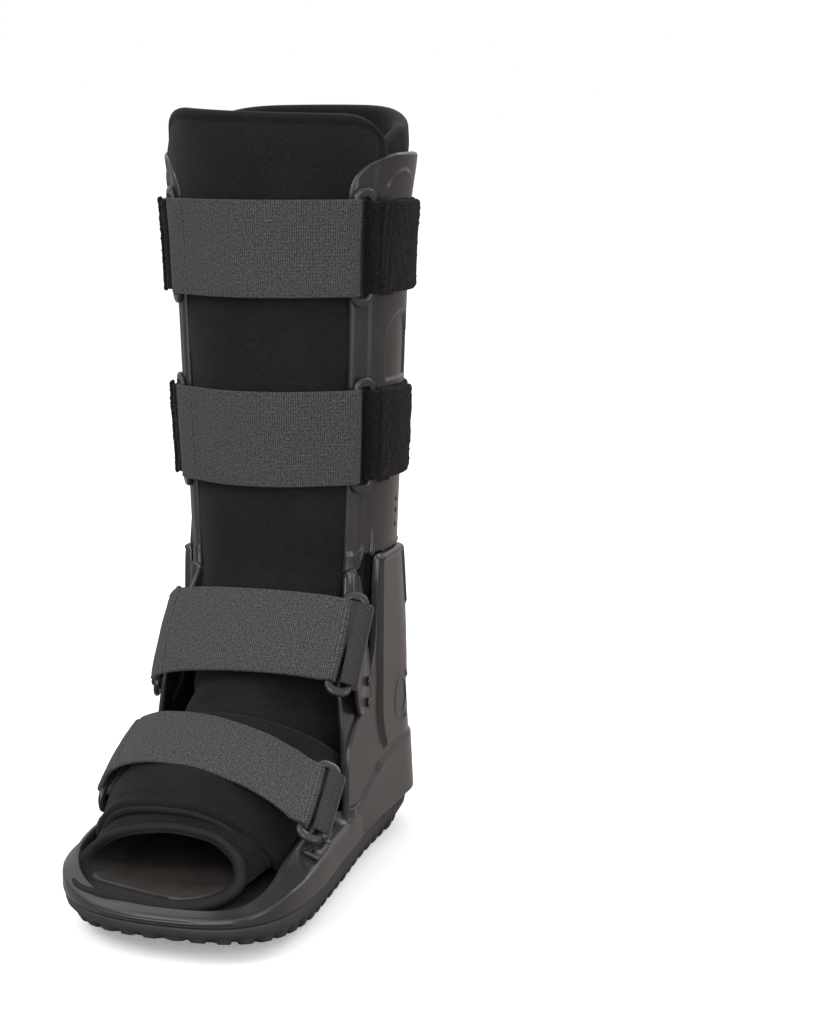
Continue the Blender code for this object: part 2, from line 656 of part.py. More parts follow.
def tab_and_rivets(label, name, grid, side, rivet_cells, plastic):
    """Strap tab as a plate over 'grid', with a rivet in the middle of each named cell."""
    outward = np.array([side, 0, 0.3])
    thick_plate("%s_tab_%s" % (label, name), grid, tab_thickness, plastic, outward)
    top = grid + grid_normals(grid, outward) * tab_thickness
    for number, (row, col) in enumerate(rivet_cells, 1):
        cell = top[row:row + 2, col:col + 2].reshape(4, 3)
        normal = np.cross(cell[3] - cell[0], cell[2] - cell[1])
        normal *= np.sign(np.dot(normal, outward)) / np.linalg.norm(normal)
        near, far = (cell[0] + cell[2]) / 2, (cell[1] + cell[3]) / 2
        middle = near + (far - near) * rivet_place
        proud = np.max((cell - middle) @ normal)
        seat = middle + normal * (proud + seat_gap)
        make_rivet("%s_rivet_%s_%d" % (label, name, number), seat, normal, plastic)


def make_rivet(name, seat, normal, plastic):
    """Low round rivet head."""
    side = np.cross(normal, (0, 0, 1.0))
    side /= np.linalg.norm(side)
    up = np.cross(side, normal)
    turn = np.linspace(0, 2 * np.pi, 11)[:-1, None]
    rings = []
    for share, rise in ((1.0, 0.0), (1.0, 0.35), (0.62, 1.0)):
        flat = rivet_radius * share * (np.cos(turn) * side + np.sin(turn) * up)
        rings.append(seat + flat + normal * rise * rivet_head)
    return stacked_rings(name, rings, plastic)


def ankle_tab(side, name, bar, plastic):
    """Tab from the ankle strap's ring back to the shell's wall: narrow above, broad and riveted below."""
    share = np.linspace(0, 1, 5)[:, None]
    front = bar[0] + (bar[1] - bar[0]) * share
    rear_y = bar[0][1] + np.array([0.28, 0.66, 0.93, 1.0, 1.0])[:, None] * ankle_tab_reach
    rear_z = np.array([0.800, 0.730, 0.650, 0.580, 0.515])[:, None] * joint_height
    face = wall_point((rear_y + wall_front) / (heel_reach + wall_front), rear_z, -seat_gap)[:, 0]
    rear = mirror(face, side)
    lap = rear + (front - rear) * (0.45, 0.45, 0.15)
    lap[:, 0] = rear[:, 0] + (front[:, 0] - rear[:, 0]) * 0.12
    grid = np.stack([front, lap, rear], axis=1)
    tab_and_rivets("ankle", name, grid, side, ((2, 1), (3, 1)), plastic)


def rim_face(y, share, side):
    """A point on the sloped rim beside the foot: share 0 at its outer edge, 1 at its inner edge."""
    band, edge = rim_band(), sole_plan()
    lip = rim_height(edge[:, 1])
    low = np.minimum(sole_height + edge_wall, lip - 0.0022)
    outer = raise_ring(sole_plan(band * 0.25 + 0.0003), low + (lip - low) * 0.45)
    inner = raise_ring(sole_plan(band), lip)
    picked = slice(0, OUTLINE_ROWS + 1) if side > 0 else slice(OUTLINE_ROWS, None)
    ends = []
    for ring in (outer[picked], inner[picked]):
        order = np.argsort(ring[:, 1])
        x = np.interp(y, ring[order, 1], ring[order, 0])
        z = np.interp(y, ring[order, 1], ring[order, 2])
        ends.append(np.array([x, y, z]))
    return ends[0] + (ends[1] - ends[0]) * share


def foot_tab(side, name, bar, plastic):
    """Tab from the forefoot strap's ring down to the sloped rim, riveted at its foot."""
    rows = []
    for k in range(4):
        share = k / 3
        top = bar[0] + (bar[1] - bar[0]) * share
        y = top[1] + (0.5 - share) * 2 * foot_tab_taper
        slope = rim_face(y, 0.0, side) - rim_face(y, 1.0, side)
        ahead = rim_face(y - 0.002, 0.5, side) - rim_face(y + 0.002, 0.5, side)
        normal = np.cross(slope, ahead)
        normal *= np.sign(normal[2]) / np.linalg.norm(normal)
        low = rim_face(y, -0.10, side) + normal * 2 * seat_gap
        mid = low + slope / np.linalg.norm(slope) * -foot_tab_lap
        rows.append([top, top * 0.5 + mid * 0.5, mid, low])
    tab_and_rivets("forefoot", name, np.array(rows), side, ((0, 2), (2, 2)), plastic)


def remove_everything():
    for old in list(bpy.data.objects):
        bpy.data.objects.remove(old, do_unlink=True)


def main():
    remove_everything()
    rubber = material("sole_rubber", (0.030, 0.030, 0.032), 0.75)
    plastic = material("shell_plastic", (0.060, 0.058, 0.057), 0.38)
    cloth = material("liner_cloth", (0.010, 0.010, 0.013), 0.90)
    webbing = material("strap_webbing", (0.050, 0.050, 0.054), 0.85)
    pile = material("strap_pile", (0.020, 0.018, 0.018), 0.95)
    foam = material("insole_foam", (0.035, 0.030, 0.028), 0.80)

    make_outsole(rubber)
    tray = make_tray(plastic)
    walls = make_walls(plastic)
    wings = [make_wing(side, plastic) for side, name in SIDES]
    join_solids("lower_shell", [tray, walls] + wings)
    make_liner(cloth)
    make_shin_flap(cloth)
    make_toe_flap(cloth)
    make_insole(foam)
    calf_strap(1, top_strap_height, top_ring_turn, webbing, pile, plastic)
    calf_strap(2, calf_strap_height, calf_ring_turn, webbing, pile, plastic)
    ankle_bars = over_foot_strap(3, ANKLE_STRAP, 0.90, ankle_strap_ends, webbing, plastic)
    foot_bars = over_foot_strap(4, FOOT_STRAP, 1.00, foot_strap_ends, webbing, plastic)
    for side, name in SIDES:
        make_upright(side, "upright_%s" % name, plastic)
        make_disc(side, name, plastic)
        ankle_tab(side, name, ankle_bars[side], plastic)
        foot_tab(side, name, foot_bars[side], plastic)


main()
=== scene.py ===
import math

import bpy
import numpy as np
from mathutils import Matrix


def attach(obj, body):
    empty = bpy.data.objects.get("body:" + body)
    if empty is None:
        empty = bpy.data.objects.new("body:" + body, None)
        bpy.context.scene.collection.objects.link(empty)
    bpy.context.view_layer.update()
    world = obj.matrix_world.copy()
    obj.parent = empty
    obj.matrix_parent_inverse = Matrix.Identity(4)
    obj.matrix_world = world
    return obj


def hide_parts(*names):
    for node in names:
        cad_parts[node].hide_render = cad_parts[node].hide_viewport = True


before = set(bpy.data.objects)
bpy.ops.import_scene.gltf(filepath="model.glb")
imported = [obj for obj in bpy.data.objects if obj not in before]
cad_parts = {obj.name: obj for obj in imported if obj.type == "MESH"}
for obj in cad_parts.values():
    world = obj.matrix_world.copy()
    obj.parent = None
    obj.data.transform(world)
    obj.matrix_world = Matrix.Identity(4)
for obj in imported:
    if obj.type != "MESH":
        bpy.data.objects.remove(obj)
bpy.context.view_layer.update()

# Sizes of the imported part, in metres.
toe_reach, heel_reach = 0.2240, 0.0790
inner_ball_width, outer_ball_width, heel_half_width = 0.0670, 0.0730, 0.0555
toe_round, heel_round, toe_skew = 0.072, 0.048, 0.010
sole_height, toe_spring, heel_spring = 0.0220, 0.0125, 0.0090
floor_plate, edge_wall = 0.0030, 0.0110
toe_rim_rise, ball_rim_rise = 0.0085, 0.0230
rim_band_inner, rim_band_outer, rim_band_toe = 0.0150, 0.0060, 0.0092
shell_wall, wall_front, wall_swell, cup_lean = 0.0032, 0.0780, 0.0026, 0.16
flange_drop, joint_height, column_half_width = 0.0090, 0.1815, 0.0590
piece_gap, seat_gap, cloth_gap = 0.0004, 0.0003, 0.0008
leg_half_width, liner_height, liner_wall, foot_pad = 0.0520, 0.4320, 0.0070, 0.0042
shin_flap_wall, toe_flap_wall, insole_thickness = 0.0028, 0.0030, 0.0026
upright_top, upright_wall = 0.4100, 0.0032
strap_width, strap_thickness, pile_thickness = 0.0540, 0.0026, 0.0024
ring_bar, ring_opening, ring_margin = 0.0034, 0.0090, 0.0062
top_strap_height, calf_strap_height = 0.3575, 0.2515
rivet_radius, rivet_head = 0.0030, 0.0014
disc_radius, disc_height, disc_place = 0.0125, 0.0885, 0.250
sole_length = toe_reach + heel_reach
rubber_top = sole_height - seat_gap
SIDES = ((1, "inner"), (-1, "outer"))


# ---- Camera, light and world ----

def aim(place, target):
    """Turn that looks from one point to another."""
    from mathutils import Vector
    return (Vector(target) - Vector(place)).to_track_quat("-Z", "Y").to_euler()


camera = bpy.data.objects.new("camera", bpy.data.cameras.new("camera"))
bpy.context.collection.objects.link(camera)
camera.data.lens = 81.63
camera.data.sensor_width = 36
camera.location = (0.4617, -1.2686, 0.4273)
camera.rotation_euler = (math.radians(90 - 9.58), 0, math.radians(20) + math.atan((292.5 - 409.5) / 2322))
bpy.context.scene.camera = camera
bpy.context.scene.view_settings.view_transform = "Standard"

for name, place, target, size, power in (
        ("key_light", (-1.1, -1.6, 2.0), (0, -0.05, 0.15), 1.3, 30),
        ("front_light", (0.55, -2.3, 0.75), (0.02, 0, 0.20), 1.8, 34),
        ("side_light", (2.1, -0.80, 0.62), (0.05, -0.03, 0.20), 1.1, 13),
        ("rim_light", (1.0, 1.5, 1.6), (0, 0, 0.2), 1.0, 8)):
    lamp = bpy.data.lights.new(name, "AREA")
    lamp.size, lamp.energy = size, power
    lamp_object = bpy.data.objects.new(name, lamp)
    lamp_object.location, lamp_object.rotation_euler = place, aim(place, target)
    bpy.context.collection.objects.link(lamp_object)

world = bpy.data.worlds.new("studio")
bpy.context.scene.world = world
world.use_nodes = True


# ---- Finishes ----

def wire(tree, kind, links=(), **settings):
    """Add a node, set its properties and sockets, and link sockets given as (input, output)."""
    node = tree.nodes.new("ShaderNode" + kind)
    for key, value in settings.items():
        if key.startswith("in_"):
            node.inputs[int(key[3:])].default_value = value
        else:
            setattr(node, key, value)
    for where, source in links:
        tree.links.new(source, node.inputs[where])
    return node


def node_group(name, inputs, outputs):
    tree = bpy.data.node_groups.new(name, "ShaderNodeTree")
    for way, sockets in (("INPUT", inputs), ("OUTPUT", outputs)):
        for label, kind, *value in sockets:
            made = tree.interface.new_socket(label, in_out=way, socket_type="NodeSocket" + kind)
            if value:
                made.default_value = value[0]
    return tree, tree.nodes.new("NodeGroupInput"), tree.nodes.new("NodeGroupOutput")


def make_sky(tree):
    """White to the camera; to everything else a studio that is brighter above and behind than below."""
    plain = tree.nodes["Background"]
    plain.inputs["Color"].default_value = (1, 1, 1, 1)
    plain.inputs["Strength"].default_value = 1.0
    parts = wire(tree, "SeparateXYZ", [(0, wire(tree, "TexCoord").outputs["Generated"])])
    high = wire(tree, "MapRange", [(0, parts.outputs[2])], in_1=-0.3, in_2=0.9, in_3=0.14, in_4=1.25)
    behind = wire(tree, "MapRange", [(0, parts.outputs[1])], in_1=-0.6, in_2=0.9, in_3=-0.08, in_4=0.08)
    total = wire(tree, "Math", [(0, high.outputs[0]), (1, behind.outputs[0])], operation="ADD")
    soft = wire(tree, "Background", [("Strength", total.outputs[0])])
    soft.inputs["Color"].default_value = (1, 1, 1, 1)
    seen = wire(tree, "LightPath").outputs["Is Camera Ray"]
    both = wire(tree, "MixShader", [(0, seen), (1, soft.outputs[0]), (2, plain.outputs[0])])
    tree.links.new(both.outputs[0], tree.nodes["World Output"].inputs[0])


make_sky(world.node_tree)


def make_mottle():
    """Colour that wanders between two tones, in large soft patches and in fine specks."""
    tree, given, out = node_group("mottle", (
        ("Vector", "Vector"), ("Dark", "Color"), ("Light", "Color"), ("Patch Scale", "Float", 30.0),
        ("Speck Scale", "Float", 900.0), ("Specks", "Float", 0.4)), (("Color", "Color"),))
    patch = wire(tree, "TexNoise", [(0, given.outputs[0]), ("Scale", given.outputs[3])])
    patch.inputs["Detail"].default_value = 3.0
    speck = wire(tree, "TexNoise", [(0, given.outputs[0]), ("Scale", given.outputs[4])])
    share = wire(tree, "Mix", [("Factor", given.outputs[5]), ("A", patch.outputs[0]), ("B", speck.outputs[0])])
    spread = wire(tree, "MapRange", [(0, share.outputs[0])], in_1=0.32, in_2=0.68)
    mixed = wire(tree, "Mix", [("Factor", spread.outputs[0])], data_type="RGBA")
    for socket in mixed.inputs:
        if socket.type == "RGBA" and socket.name == "A":
            tree.links.new(given.outputs[1], socket)
        if socket.type == "RGBA" and socket.name == "B":
            tree.links.new(given.outputs[2], socket)
    colour = [s for s in mixed.outputs if s.type == "RGBA"][0]
    tree.links.new(colour, out.inputs[0])
    return tree


def make_grain():
    """Fine uneven surface: noise at one scale as a normal."""
    tree, given, out = node_group("grain", (
        ("Vector", "Vector"), ("Scale", "Float", 1500.0), ("Strength", "Float", 0.2),
        ("Distance", "Float", 0.0003)), (("Normal", "Vector"),))
    noise = wire(tree, "TexNoise", [(0, given.outputs[0]), ("Scale", given.outputs[1])])
    noise.inputs["Detail"].default_value = 2.0
    bump = wire(tree, "Bump", [("Strength", given.outputs[2]), ("Distance", given.outputs[3]),
                               ("Height", noise.outputs[0])])
    tree.links.new(bump.outputs[0], out.inputs[0])
    return tree


def make_ribs():
    """Woven ribs from a flat UV map in metres: cross ribs, fainter lengthwise ones, and a light mask from the same
    heights, which is partly painted shade in the rib grooves and partly random tone from noise.
    """
    tree, given, out = node_group("ribs", (
        ("UV", "Vector"), ("Pitch", "Float", 0.0011), ("Cross Pitch", "Float", 0.0016),
        ("Strength", "Float", 0.6), ("Distance", "Float", 0.0003)), (("Normal", "Vector"), ("Light", "Float")))
    parts = wire(tree, "SeparateXYZ", [(0, given.outputs[0])])
    waves = []
    for axis, pitch in ((0, 1), (1, 2)):
        turns = wire(tree, "Math", [(0, parts.outputs[axis]), (1, given.outputs[pitch])], operation="DIVIDE")
        angle = wire(tree, "Math", [(0, turns.outputs[0])], operation="MULTIPLY", in_1=2 * math.pi)
        waves.append(wire(tree, "Math", [(0, angle.outputs[0])], operation="SINE").outputs[0])
    noise = wire(tree, "TexNoise", [(0, given.outputs[0])])
    noise.inputs["Scale"].default_value = 850.0
    noise.inputs["Detail"].default_value = 3.0
    weave = wire(tree, "Math", [(0, waves[0]), (1, waves[1])], operation="MULTIPLY")
    ribs = wire(tree, "Math", [(0, weave.outputs[0])], operation="MULTIPLY_ADD", in_1=0.5)
    half = wire(tree, "Math", [(0, waves[0])], operation="MULTIPLY", in_1=0.34)
    tree.links.new(half.outputs[0], ribs.inputs[2])
    rough = wire(tree, "Math", [(0, noise.outputs[0]), (2, ribs.outputs[0])], operation="MULTIPLY_ADD", in_1=2.6)
    bump = wire(tree, "Bump", [("Strength", given.outputs[3]), ("Distance", given.outputs[4]),
                               ("Height", rough.outputs[0])])
    # Mask from the relief's height: the lower grooves come out darker as painted shade, and the noise adds random tone.
    light = wire(tree, "MapRange", [(0, rough.outputs[0])], in_1=0.75, in_2=1.95)
    tree.links.new(bump.outputs[0], out.inputs[0])
    tree.links.new(light.outputs[0], out.inputs[1])
    return tree


MOTTLE, GRAIN, RIBS = make_mottle(), make_grain(), make_ribs()


def use_group(tree, group, links=(), **values):
    node = tree.nodes.new("ShaderNodeGroup")
    node.node_tree = group
    for key, value in values.items():
        node.inputs[key.replace("_", " ")].default_value = value
    for where, source in links:
        tree.links.new(source, node.inputs[where])
    return node


def finish(name, dark, light, roughness, grain, patch=30.0, speck=900.0, specks=0.4, sheen=0.0, **more):
    """Principled finish with mottled colour and a fine grain.  'grain' is scale, strength, distance."""
    made = bpy.data.materials.new(name)
    made.use_nodes = True
    tree = made.node_tree
    shader = tree.nodes["Principled BSDF"]
    shader.inputs["Roughness"].default_value = roughness
    if sheen:
        shader.inputs["Sheen Weight"].default_value = sheen
        shader.inputs["Sheen Roughness"].default_value = 0.45
    for key, value in more.items():
        shader.inputs[key.replace("_", " ")].default_value = value
    place = wire(tree, "TexCoord").outputs["Object"]
    mottle = use_group(tree, MOTTLE, [("Vector", place)], Dark=(*dark, 1), Light=(*light, 1),
                       Patch_Scale=patch, Speck_Scale=speck, Specks=specks)
    tree.links.new(mottle.outputs[0], shader.inputs["Base Color"])
    bumpy = use_group(tree, GRAIN, [("Vector", place)], Scale=grain[0], Strength=grain[1], Distance=grain[2])
    tree.links.new(bumpy.outputs[0], shader.inputs["Normal"])
    made.diffuse_color = (*light, 1)
    return made


def woven(name, dark, light, roughness, pitch, cross, strength, distance, sheen=0.0, gloss=0.2):
    """Woven finish whose ribs follow the piece's flat UV map; its tone is darker in the rib grooves as painted shade,
    with random tone from noise.
    """
    made = bpy.data.materials.new(name)
    made.use_nodes = True
    tree = made.node_tree
    shader = tree.nodes["Principled BSDF"]
    shader.inputs["Roughness"].default_value = roughness
    shader.inputs["Specular IOR Level"].default_value = gloss
    if sheen:
        shader.inputs["Sheen Weight"].default_value = sheen
    flat = wire(tree, "UVMap", uv_map="flat").outputs[0]
    ribs = use_group(tree, RIBS, [("UV", flat)], Pitch=pitch, Cross_Pitch=cross, Strength=strength,
                     Distance=distance)
    # Tone from the ribs' light mask: painted shade in the grooves, random tone from the noise.
    tone = wire(tree, "Mix", [("Factor", ribs.outputs["Light"])], data_type="RGBA")
    for socket in tone.inputs:
        if socket.type == "RGBA":
            socket.default_value = (*(dark if socket.name == "A" else light), 1)
    tree.links.new([s for s in tone.outputs if s.type == "RGBA"][0], shader.inputs["Base Color"])
    tree.links.new(ribs.outputs["Normal"], shader.inputs["Normal"])
    made.diffuse_color = (*light, 1)
    return made


PLASTIC = finish("moulded_plastic", (0.0162, 0.0158, 0.0158), (0.0285, 0.0280, 0.0280), 0.22, (1500, 0.10, 0.0004),
                 patch=16, speck=1800, specks=0.25, Specular_IOR_Level=0.40)
RUBBER = finish("sole_rubber", (0.019, 0.019, 0.020), (0.037, 0.037, 0.039), 0.60, (900, 0.3, 0.0005),
                Specular_IOR_Level=0.35)
CLOTH = finish("liner_cloth", (0.0032, 0.0034, 0.0043), (0.0104, 0.0106, 0.0132), 0.90, (1300, 0.6, 0.0004),
               patch=26, speck=800, specks=0.62, sheen=0.05, Specular_IOR_Level=0.16)
PILE = finish("hook_pile", (0.0014, 0.0013, 0.0013), (0.0140, 0.0128, 0.0122), 0.95, (1000, 1.0, 0.0014),
              patch=520, speck=900, specks=0.85, sheen=0.05, Specular_IOR_Level=0.10)
FOAM = finish("insole_cover", (0.0140, 0.0118, 0.0108), (0.034, 0.029, 0.0265), 0.50, (800, 0.45, 0.0005),
              patch=60, Specular_IOR_Level=0.4)
WEBBING = woven("strap_webbing", (0.0150, 0.0156, 0.0162), (0.0800, 0.0838, 0.0892), 0.80, 0.00125, 0.0019, 0.8, 0.0004,
                sheen=0.03)
BINDING = woven("edge_binding", (0.0036, 0.0036, 0.0042), (0.0125, 0.0125, 0.0142), 0.72, 0.0009, 0.0015, 0.6, 0.0003,
                gloss=0.24)
LOOP = woven("tab_loop_webbing", (0.0075, 0.0075, 0.0080), (0.034, 0.035, 0.037), 0.70, 0.0012, 0.0015, 0.6, 0.0003,
             gloss=0.3)
STEEL = finish("rivet_metal", (0.030, 0.029, 0.028), (0.070, 0.067, 0.064), 0.34, (1800, 0.1, 0.0002), Metallic=0.5)
FLOOR = finish("studio_paper", (0.88, 0.88, 0.89), (0.91, 0.91, 0.92), 0.9, (300, 0.02, 0.0002))
for socket, value in (("Emission Color", (1, 1, 1, 1)), ("Emission Strength", 0.24)):
    FLOOR.node_tree.nodes["Principled BSDF"].inputs[socket].default_value = value


def dim_bounce(tree):
    """Floor that is white to the camera and a dim warm grey in the boot's reflections and bounce."""
    dim = wire(tree, "BsdfDiffuse")
    dim.inputs["Color"].default_value = (0.34, 0.30, 0.287, 1)
    seen = wire(tree, "LightPath").outputs["Is Camera Ray"]
    both = wire(tree, "MixShader", [(0, seen), (1, dim.outputs[0]), (2, tree.nodes["Principled BSDF"].outputs[0])])
    tree.links.new(both.outputs[0], tree.nodes["Material Output"].inputs[0])


dim_bounce(FLOOR.node_tree)


# ---- Surfaces ----

def columns(rows, at):
    """Read a table with named columns at places 'at' of its first column, on a smooth curve."""
    rows = np.array(rows, float)
    key, values = rows[:, 0], rows[:, 1:]
    slopes = np.gradient(values, key, axis=0)
    at = np.clip(np.asarray(at, float), key[0], key[-1])
    cell = np.clip(np.searchsorted(key, at, side="right") - 1, 0, len(key) - 2)
    width = (key[cell + 1] - key[cell])
    share = ((at - key[cell]) / width)[..., None]
    width = width[..., None]
    blend = share * share * (3 - 2 * share)
    rise = share * (1 - share) ** 2 * width
    fall = share * share * (share - 1) * width
    return (values[cell] * (1 - blend) + values[cell + 1] * blend
            + slopes[cell] * rise + slopes[cell + 1] * fall)


def step(value, low, high):
    """Smooth step from 0 at 'low' to 1 at 'high'."""
    share = np.clip((np.asarray(value, float) - low) / (high - low), 0, 1)
    return share * share * (3 - 2 * share)


def ripple(first, second, seed):
    """Soft uneven wander between -1 and 1: a sum of five sine waves in two parameters."""
    rng = np.random.default_rng(seed)
    total = 0
    for k in range(5):
        a, b, c = rng.uniform(-1, 1), rng.uniform(-1, 1), rng.uniform(0, 6.28)
        total = total + np.sin(first * a * (k + 1) * 2 + second * b * (k + 1) * 2 + c) / (k + 1)
    return total / 2


def add_piece(name, points, faces, material, flat=None, slot=None, instead=(), smooth=True):
    """Put points and faces into a piece that faces outwards, rides on the boot and stands for CAD nodes."""
    points = np.asarray(points, float).reshape(-1, 3)
    faces = np.asarray(faces, int)
    a, b, c = points[faces[:, 0]], points[faces[:, 1]], points[faces[:, 2]]
    volume = np.sum(np.cross(a, b) * c)
    if faces.shape[1] == 4:
        volume += np.sum(np.cross(a, c) * points[faces[:, 3]])
    if volume < 0:
        faces = faces[:, ::-1]
    mesh = bpy.data.meshes.new(name)
    mesh.from_pydata(points, [], faces.tolist())
    if flat is not None:
        layer = mesh.uv_layers.new(name="flat")
        order = np.empty(len(mesh.loops), int)
        mesh.loops.foreach_get("vertex_index", order)
        layer.data.foreach_set("uv", np.asarray(flat, float).reshape(-1, 2)[order].ravel())
    mesh.polygons.foreach_set("use_smooth", np.full(len(mesh.polygons), smooth))
    mesh.materials.append(material)
    mesh.update()
    piece = bpy.data.objects.new(name, mesh)
    bpy.context.collection.objects.link(piece)
    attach(piece, "root")
    if instead:
        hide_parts(*instead)
    return piece


def quads(rows, cols, wrap_rows=False, wrap_cols=False):
    index = np.arange(rows * cols).reshape(rows, cols)
    if wrap_rows:
        index = np.concatenate([index, index[:1]])
    if wrap_cols:
        index = np.concatenate([index, index[:, :1]], axis=1)
    return np.stack([index[:-1, :-1], index[1:, :-1], index[1:, 1:], index[:-1, 1:]], -1).reshape(-1, 4)


def normals(grid, wrap_rows=False, wrap_cols=False):
    """Unit normals of a grid from the differences of its neighbours."""
    def along(axis, wrap):
        if wrap:
            return np.roll(grid, -1, axis) - np.roll(grid, 1, axis)
        return np.gradient(grid, axis=axis)
    normal = np.cross(along(0, wrap_rows), along(1, wrap_cols))
    return normal / np.maximum(np.linalg.norm(normal, axis=-1, keepdims=True), 1e-12)


def places(length, pitch, edge, rounds=4):
    """Shares from 0 to 1 of a length, an even pitch apart, and close together at both rounded ends."""
    bend = (1 - np.cos(np.linspace(0, np.pi / 2, rounds + 1))) * edge / length
    count = max(3, int(round((length - 2 * edge) / pitch)) + 1)
    middle = np.linspace(edge / length, 1 - edge / length, count)[1:-1]
    return np.concatenate([bend, middle, 1 - bend[::-1]])


def fullness(share, length, edge):
    """A slab's thickness near its ends: a quarter circle over 'edge'."""
    inside = np.clip(np.minimum(share, 1 - share) * length / edge, 0, 1)
    return np.sqrt(np.maximum(1 - (1 - inside) ** 2, 0))


def slab(name, surface, size, thickness, material, pitch=0.002, outward=(0, -1, 0), relief=None, edge=None,
         seat=True, rounds=4, **more):
    """Closed plate with round edges over a surface of two shares.

    'surface' gives the point for shares (u, v) of the size (length of u, length of v).  Its face lies
    towards 'outward'.  With 'seat' the surface is the plate's back, otherwise its middle.  'relief'
    gives the height that the face stands proud by.
    """
    edge = edge or thickness / 2
    u, v = places(size[0], pitch, edge, rounds), places(size[1], pitch, edge, rounds)
    u, v = np.meshgrid(u, v, indexing="ij")
    grid = surface(u, v)
    normal = normals(grid)
    way = outward(grid) if callable(outward) else outward
    if np.sum(normal * way) < 0:
        normal = -normal
    full = fullness(u, size[0], edge) * fullness(v, size[1], edge)
    middle = grid + normal * (thickness / 2 if seat else 0)
    proud = relief(u, v) * full if relief else 0 * u
    face = middle + normal * (full * thickness / 2 + proud)[..., None]
    back = middle - normal * (full * thickness / 2)[..., None]
    rows, cols = u.shape
    index = np.arange(rows * cols).reshape(rows, cols)
    under = index + rows * cols
    border = np.ones((rows, cols), bool)
    border[1:-1, 1:-1] = False
    under[border] = index[border]
    lower = np.stack([under[:-1, :-1], under[:-1, 1:], under[1:, 1:], under[1:, :-1]], -1).reshape(-1, 4)
    faces = np.concatenate([quads(rows, cols), lower])
    points = np.concatenate([face.reshape(-1, 3), back.reshape(-1, 3)])
    used, faces = np.unique(faces, return_inverse=True)
    faces = faces.reshape(-1, 4)
    flat = np.stack([u * size[0], v * size[1]], -1).reshape(-1, 2)
    return add_piece(name, points[used], faces, material, flat=np.concatenate([flat, flat])[used], **more)


def frames(path, closed, up):
    """Directions across a path: two unit vectors square to it at each point, near 'up'."""
    ahead = np.roll(path, -1, 0) - np.roll(path, 1, 0) if closed else np.gradient(path, axis=0)
    ahead /= np.maximum(np.linalg.norm(ahead, axis=1, keepdims=True), 1e-12)
    up = np.broadcast_to(np.asarray(up, float), path.shape)
    side = np.cross(ahead, up)
    side /= np.maximum(np.linalg.norm(side, axis=1, keepdims=True), 1e-12)
    return side, np.cross(side, ahead)


def tube(name, path, width, height, material, closed=False, up=(0, 0, 1), sides=12, power=2.0, **more):
    """A profile, from round to squarish, carried along a path; its open ends close in a rounding."""
    path = np.asarray(path, float)
    side, top = frames(path, closed, up)
    turn = 2 * np.pi * (np.arange(sides) + 0.5) / sides
    cos = np.sign(np.cos(turn)) * np.abs(np.cos(turn)) ** (2 / power)
    sin = np.sign(np.sin(turn)) * np.abs(np.sin(turn)) ** (2 / power)
    count = len(path)
    width = np.broadcast_to(width, count)[:, None, None]
    height = np.broadcast_to(height, count)[:, None, None]
    grid = (path[:, None] + side[:, None] * cos[None, :, None] * width / 2
            + top[:, None] * sin[None, :, None] * height / 2)
    length = np.concatenate([[0], np.cumsum(np.linalg.norm(np.diff(path, axis=0), axis=1))])
    flat = np.stack(np.broadcast_arrays(length[:, None], turn[None] * float(width.mean()) / 2), -1)
    if closed:
        return add_piece(name, grid, quads(count, sides, True, True), material, flat=flat, **more)
    bend = np.linspace(0, np.pi / 2, 4)[1:]
    ahead = np.cross(top, side)
    ends = []
    for at, way in ((0, -1), (-1, 1)):
        caps = []
        for angle in bend:
            reach = min(width[at, 0, 0], height[at, 0, 0]) / 2
            shrink = max(np.cos(angle), 0.02)
            caps.append(path[at] + (grid[at] - path[at]) * shrink + way * ahead[at] * reach * np.sin(angle))
        ends.append(np.array(caps))
    rings = np.concatenate([ends[0][::-1], grid, ends[1]])
    flat = np.concatenate([np.repeat(flat[:1], 3, 0), flat, np.repeat(flat[-1:], 3, 0)])
    faces = quads(len(rings), sides, wrap_cols=True)
    centre = np.array([rings[0].mean(0), rings[-1].mean(0)])
    points = np.concatenate([rings.reshape(-1, 3), centre])
    flat = np.concatenate([flat.reshape(-1, 2), flat[0, :1], flat[-1, :1]])
    base = len(rings) * sides
    first = np.arange(sides)
    last = first + (len(rings) - 1) * sides
    fan = np.concatenate([
        np.stack([np.full(sides // 2, base), first[::2], first[1::2], np.roll(first, -2)[::2]], -1),
        np.stack([np.full(sides // 2, base + 1), np.roll(last, -2)[::2], last[1::2], last[::2]], -1)])
    return add_piece(name, points, np.concatenate([faces, fan]), material, flat=flat, **more)


def mirror(grid, side):
    return grid * (side, 1, 1)


# ---- Liner ----

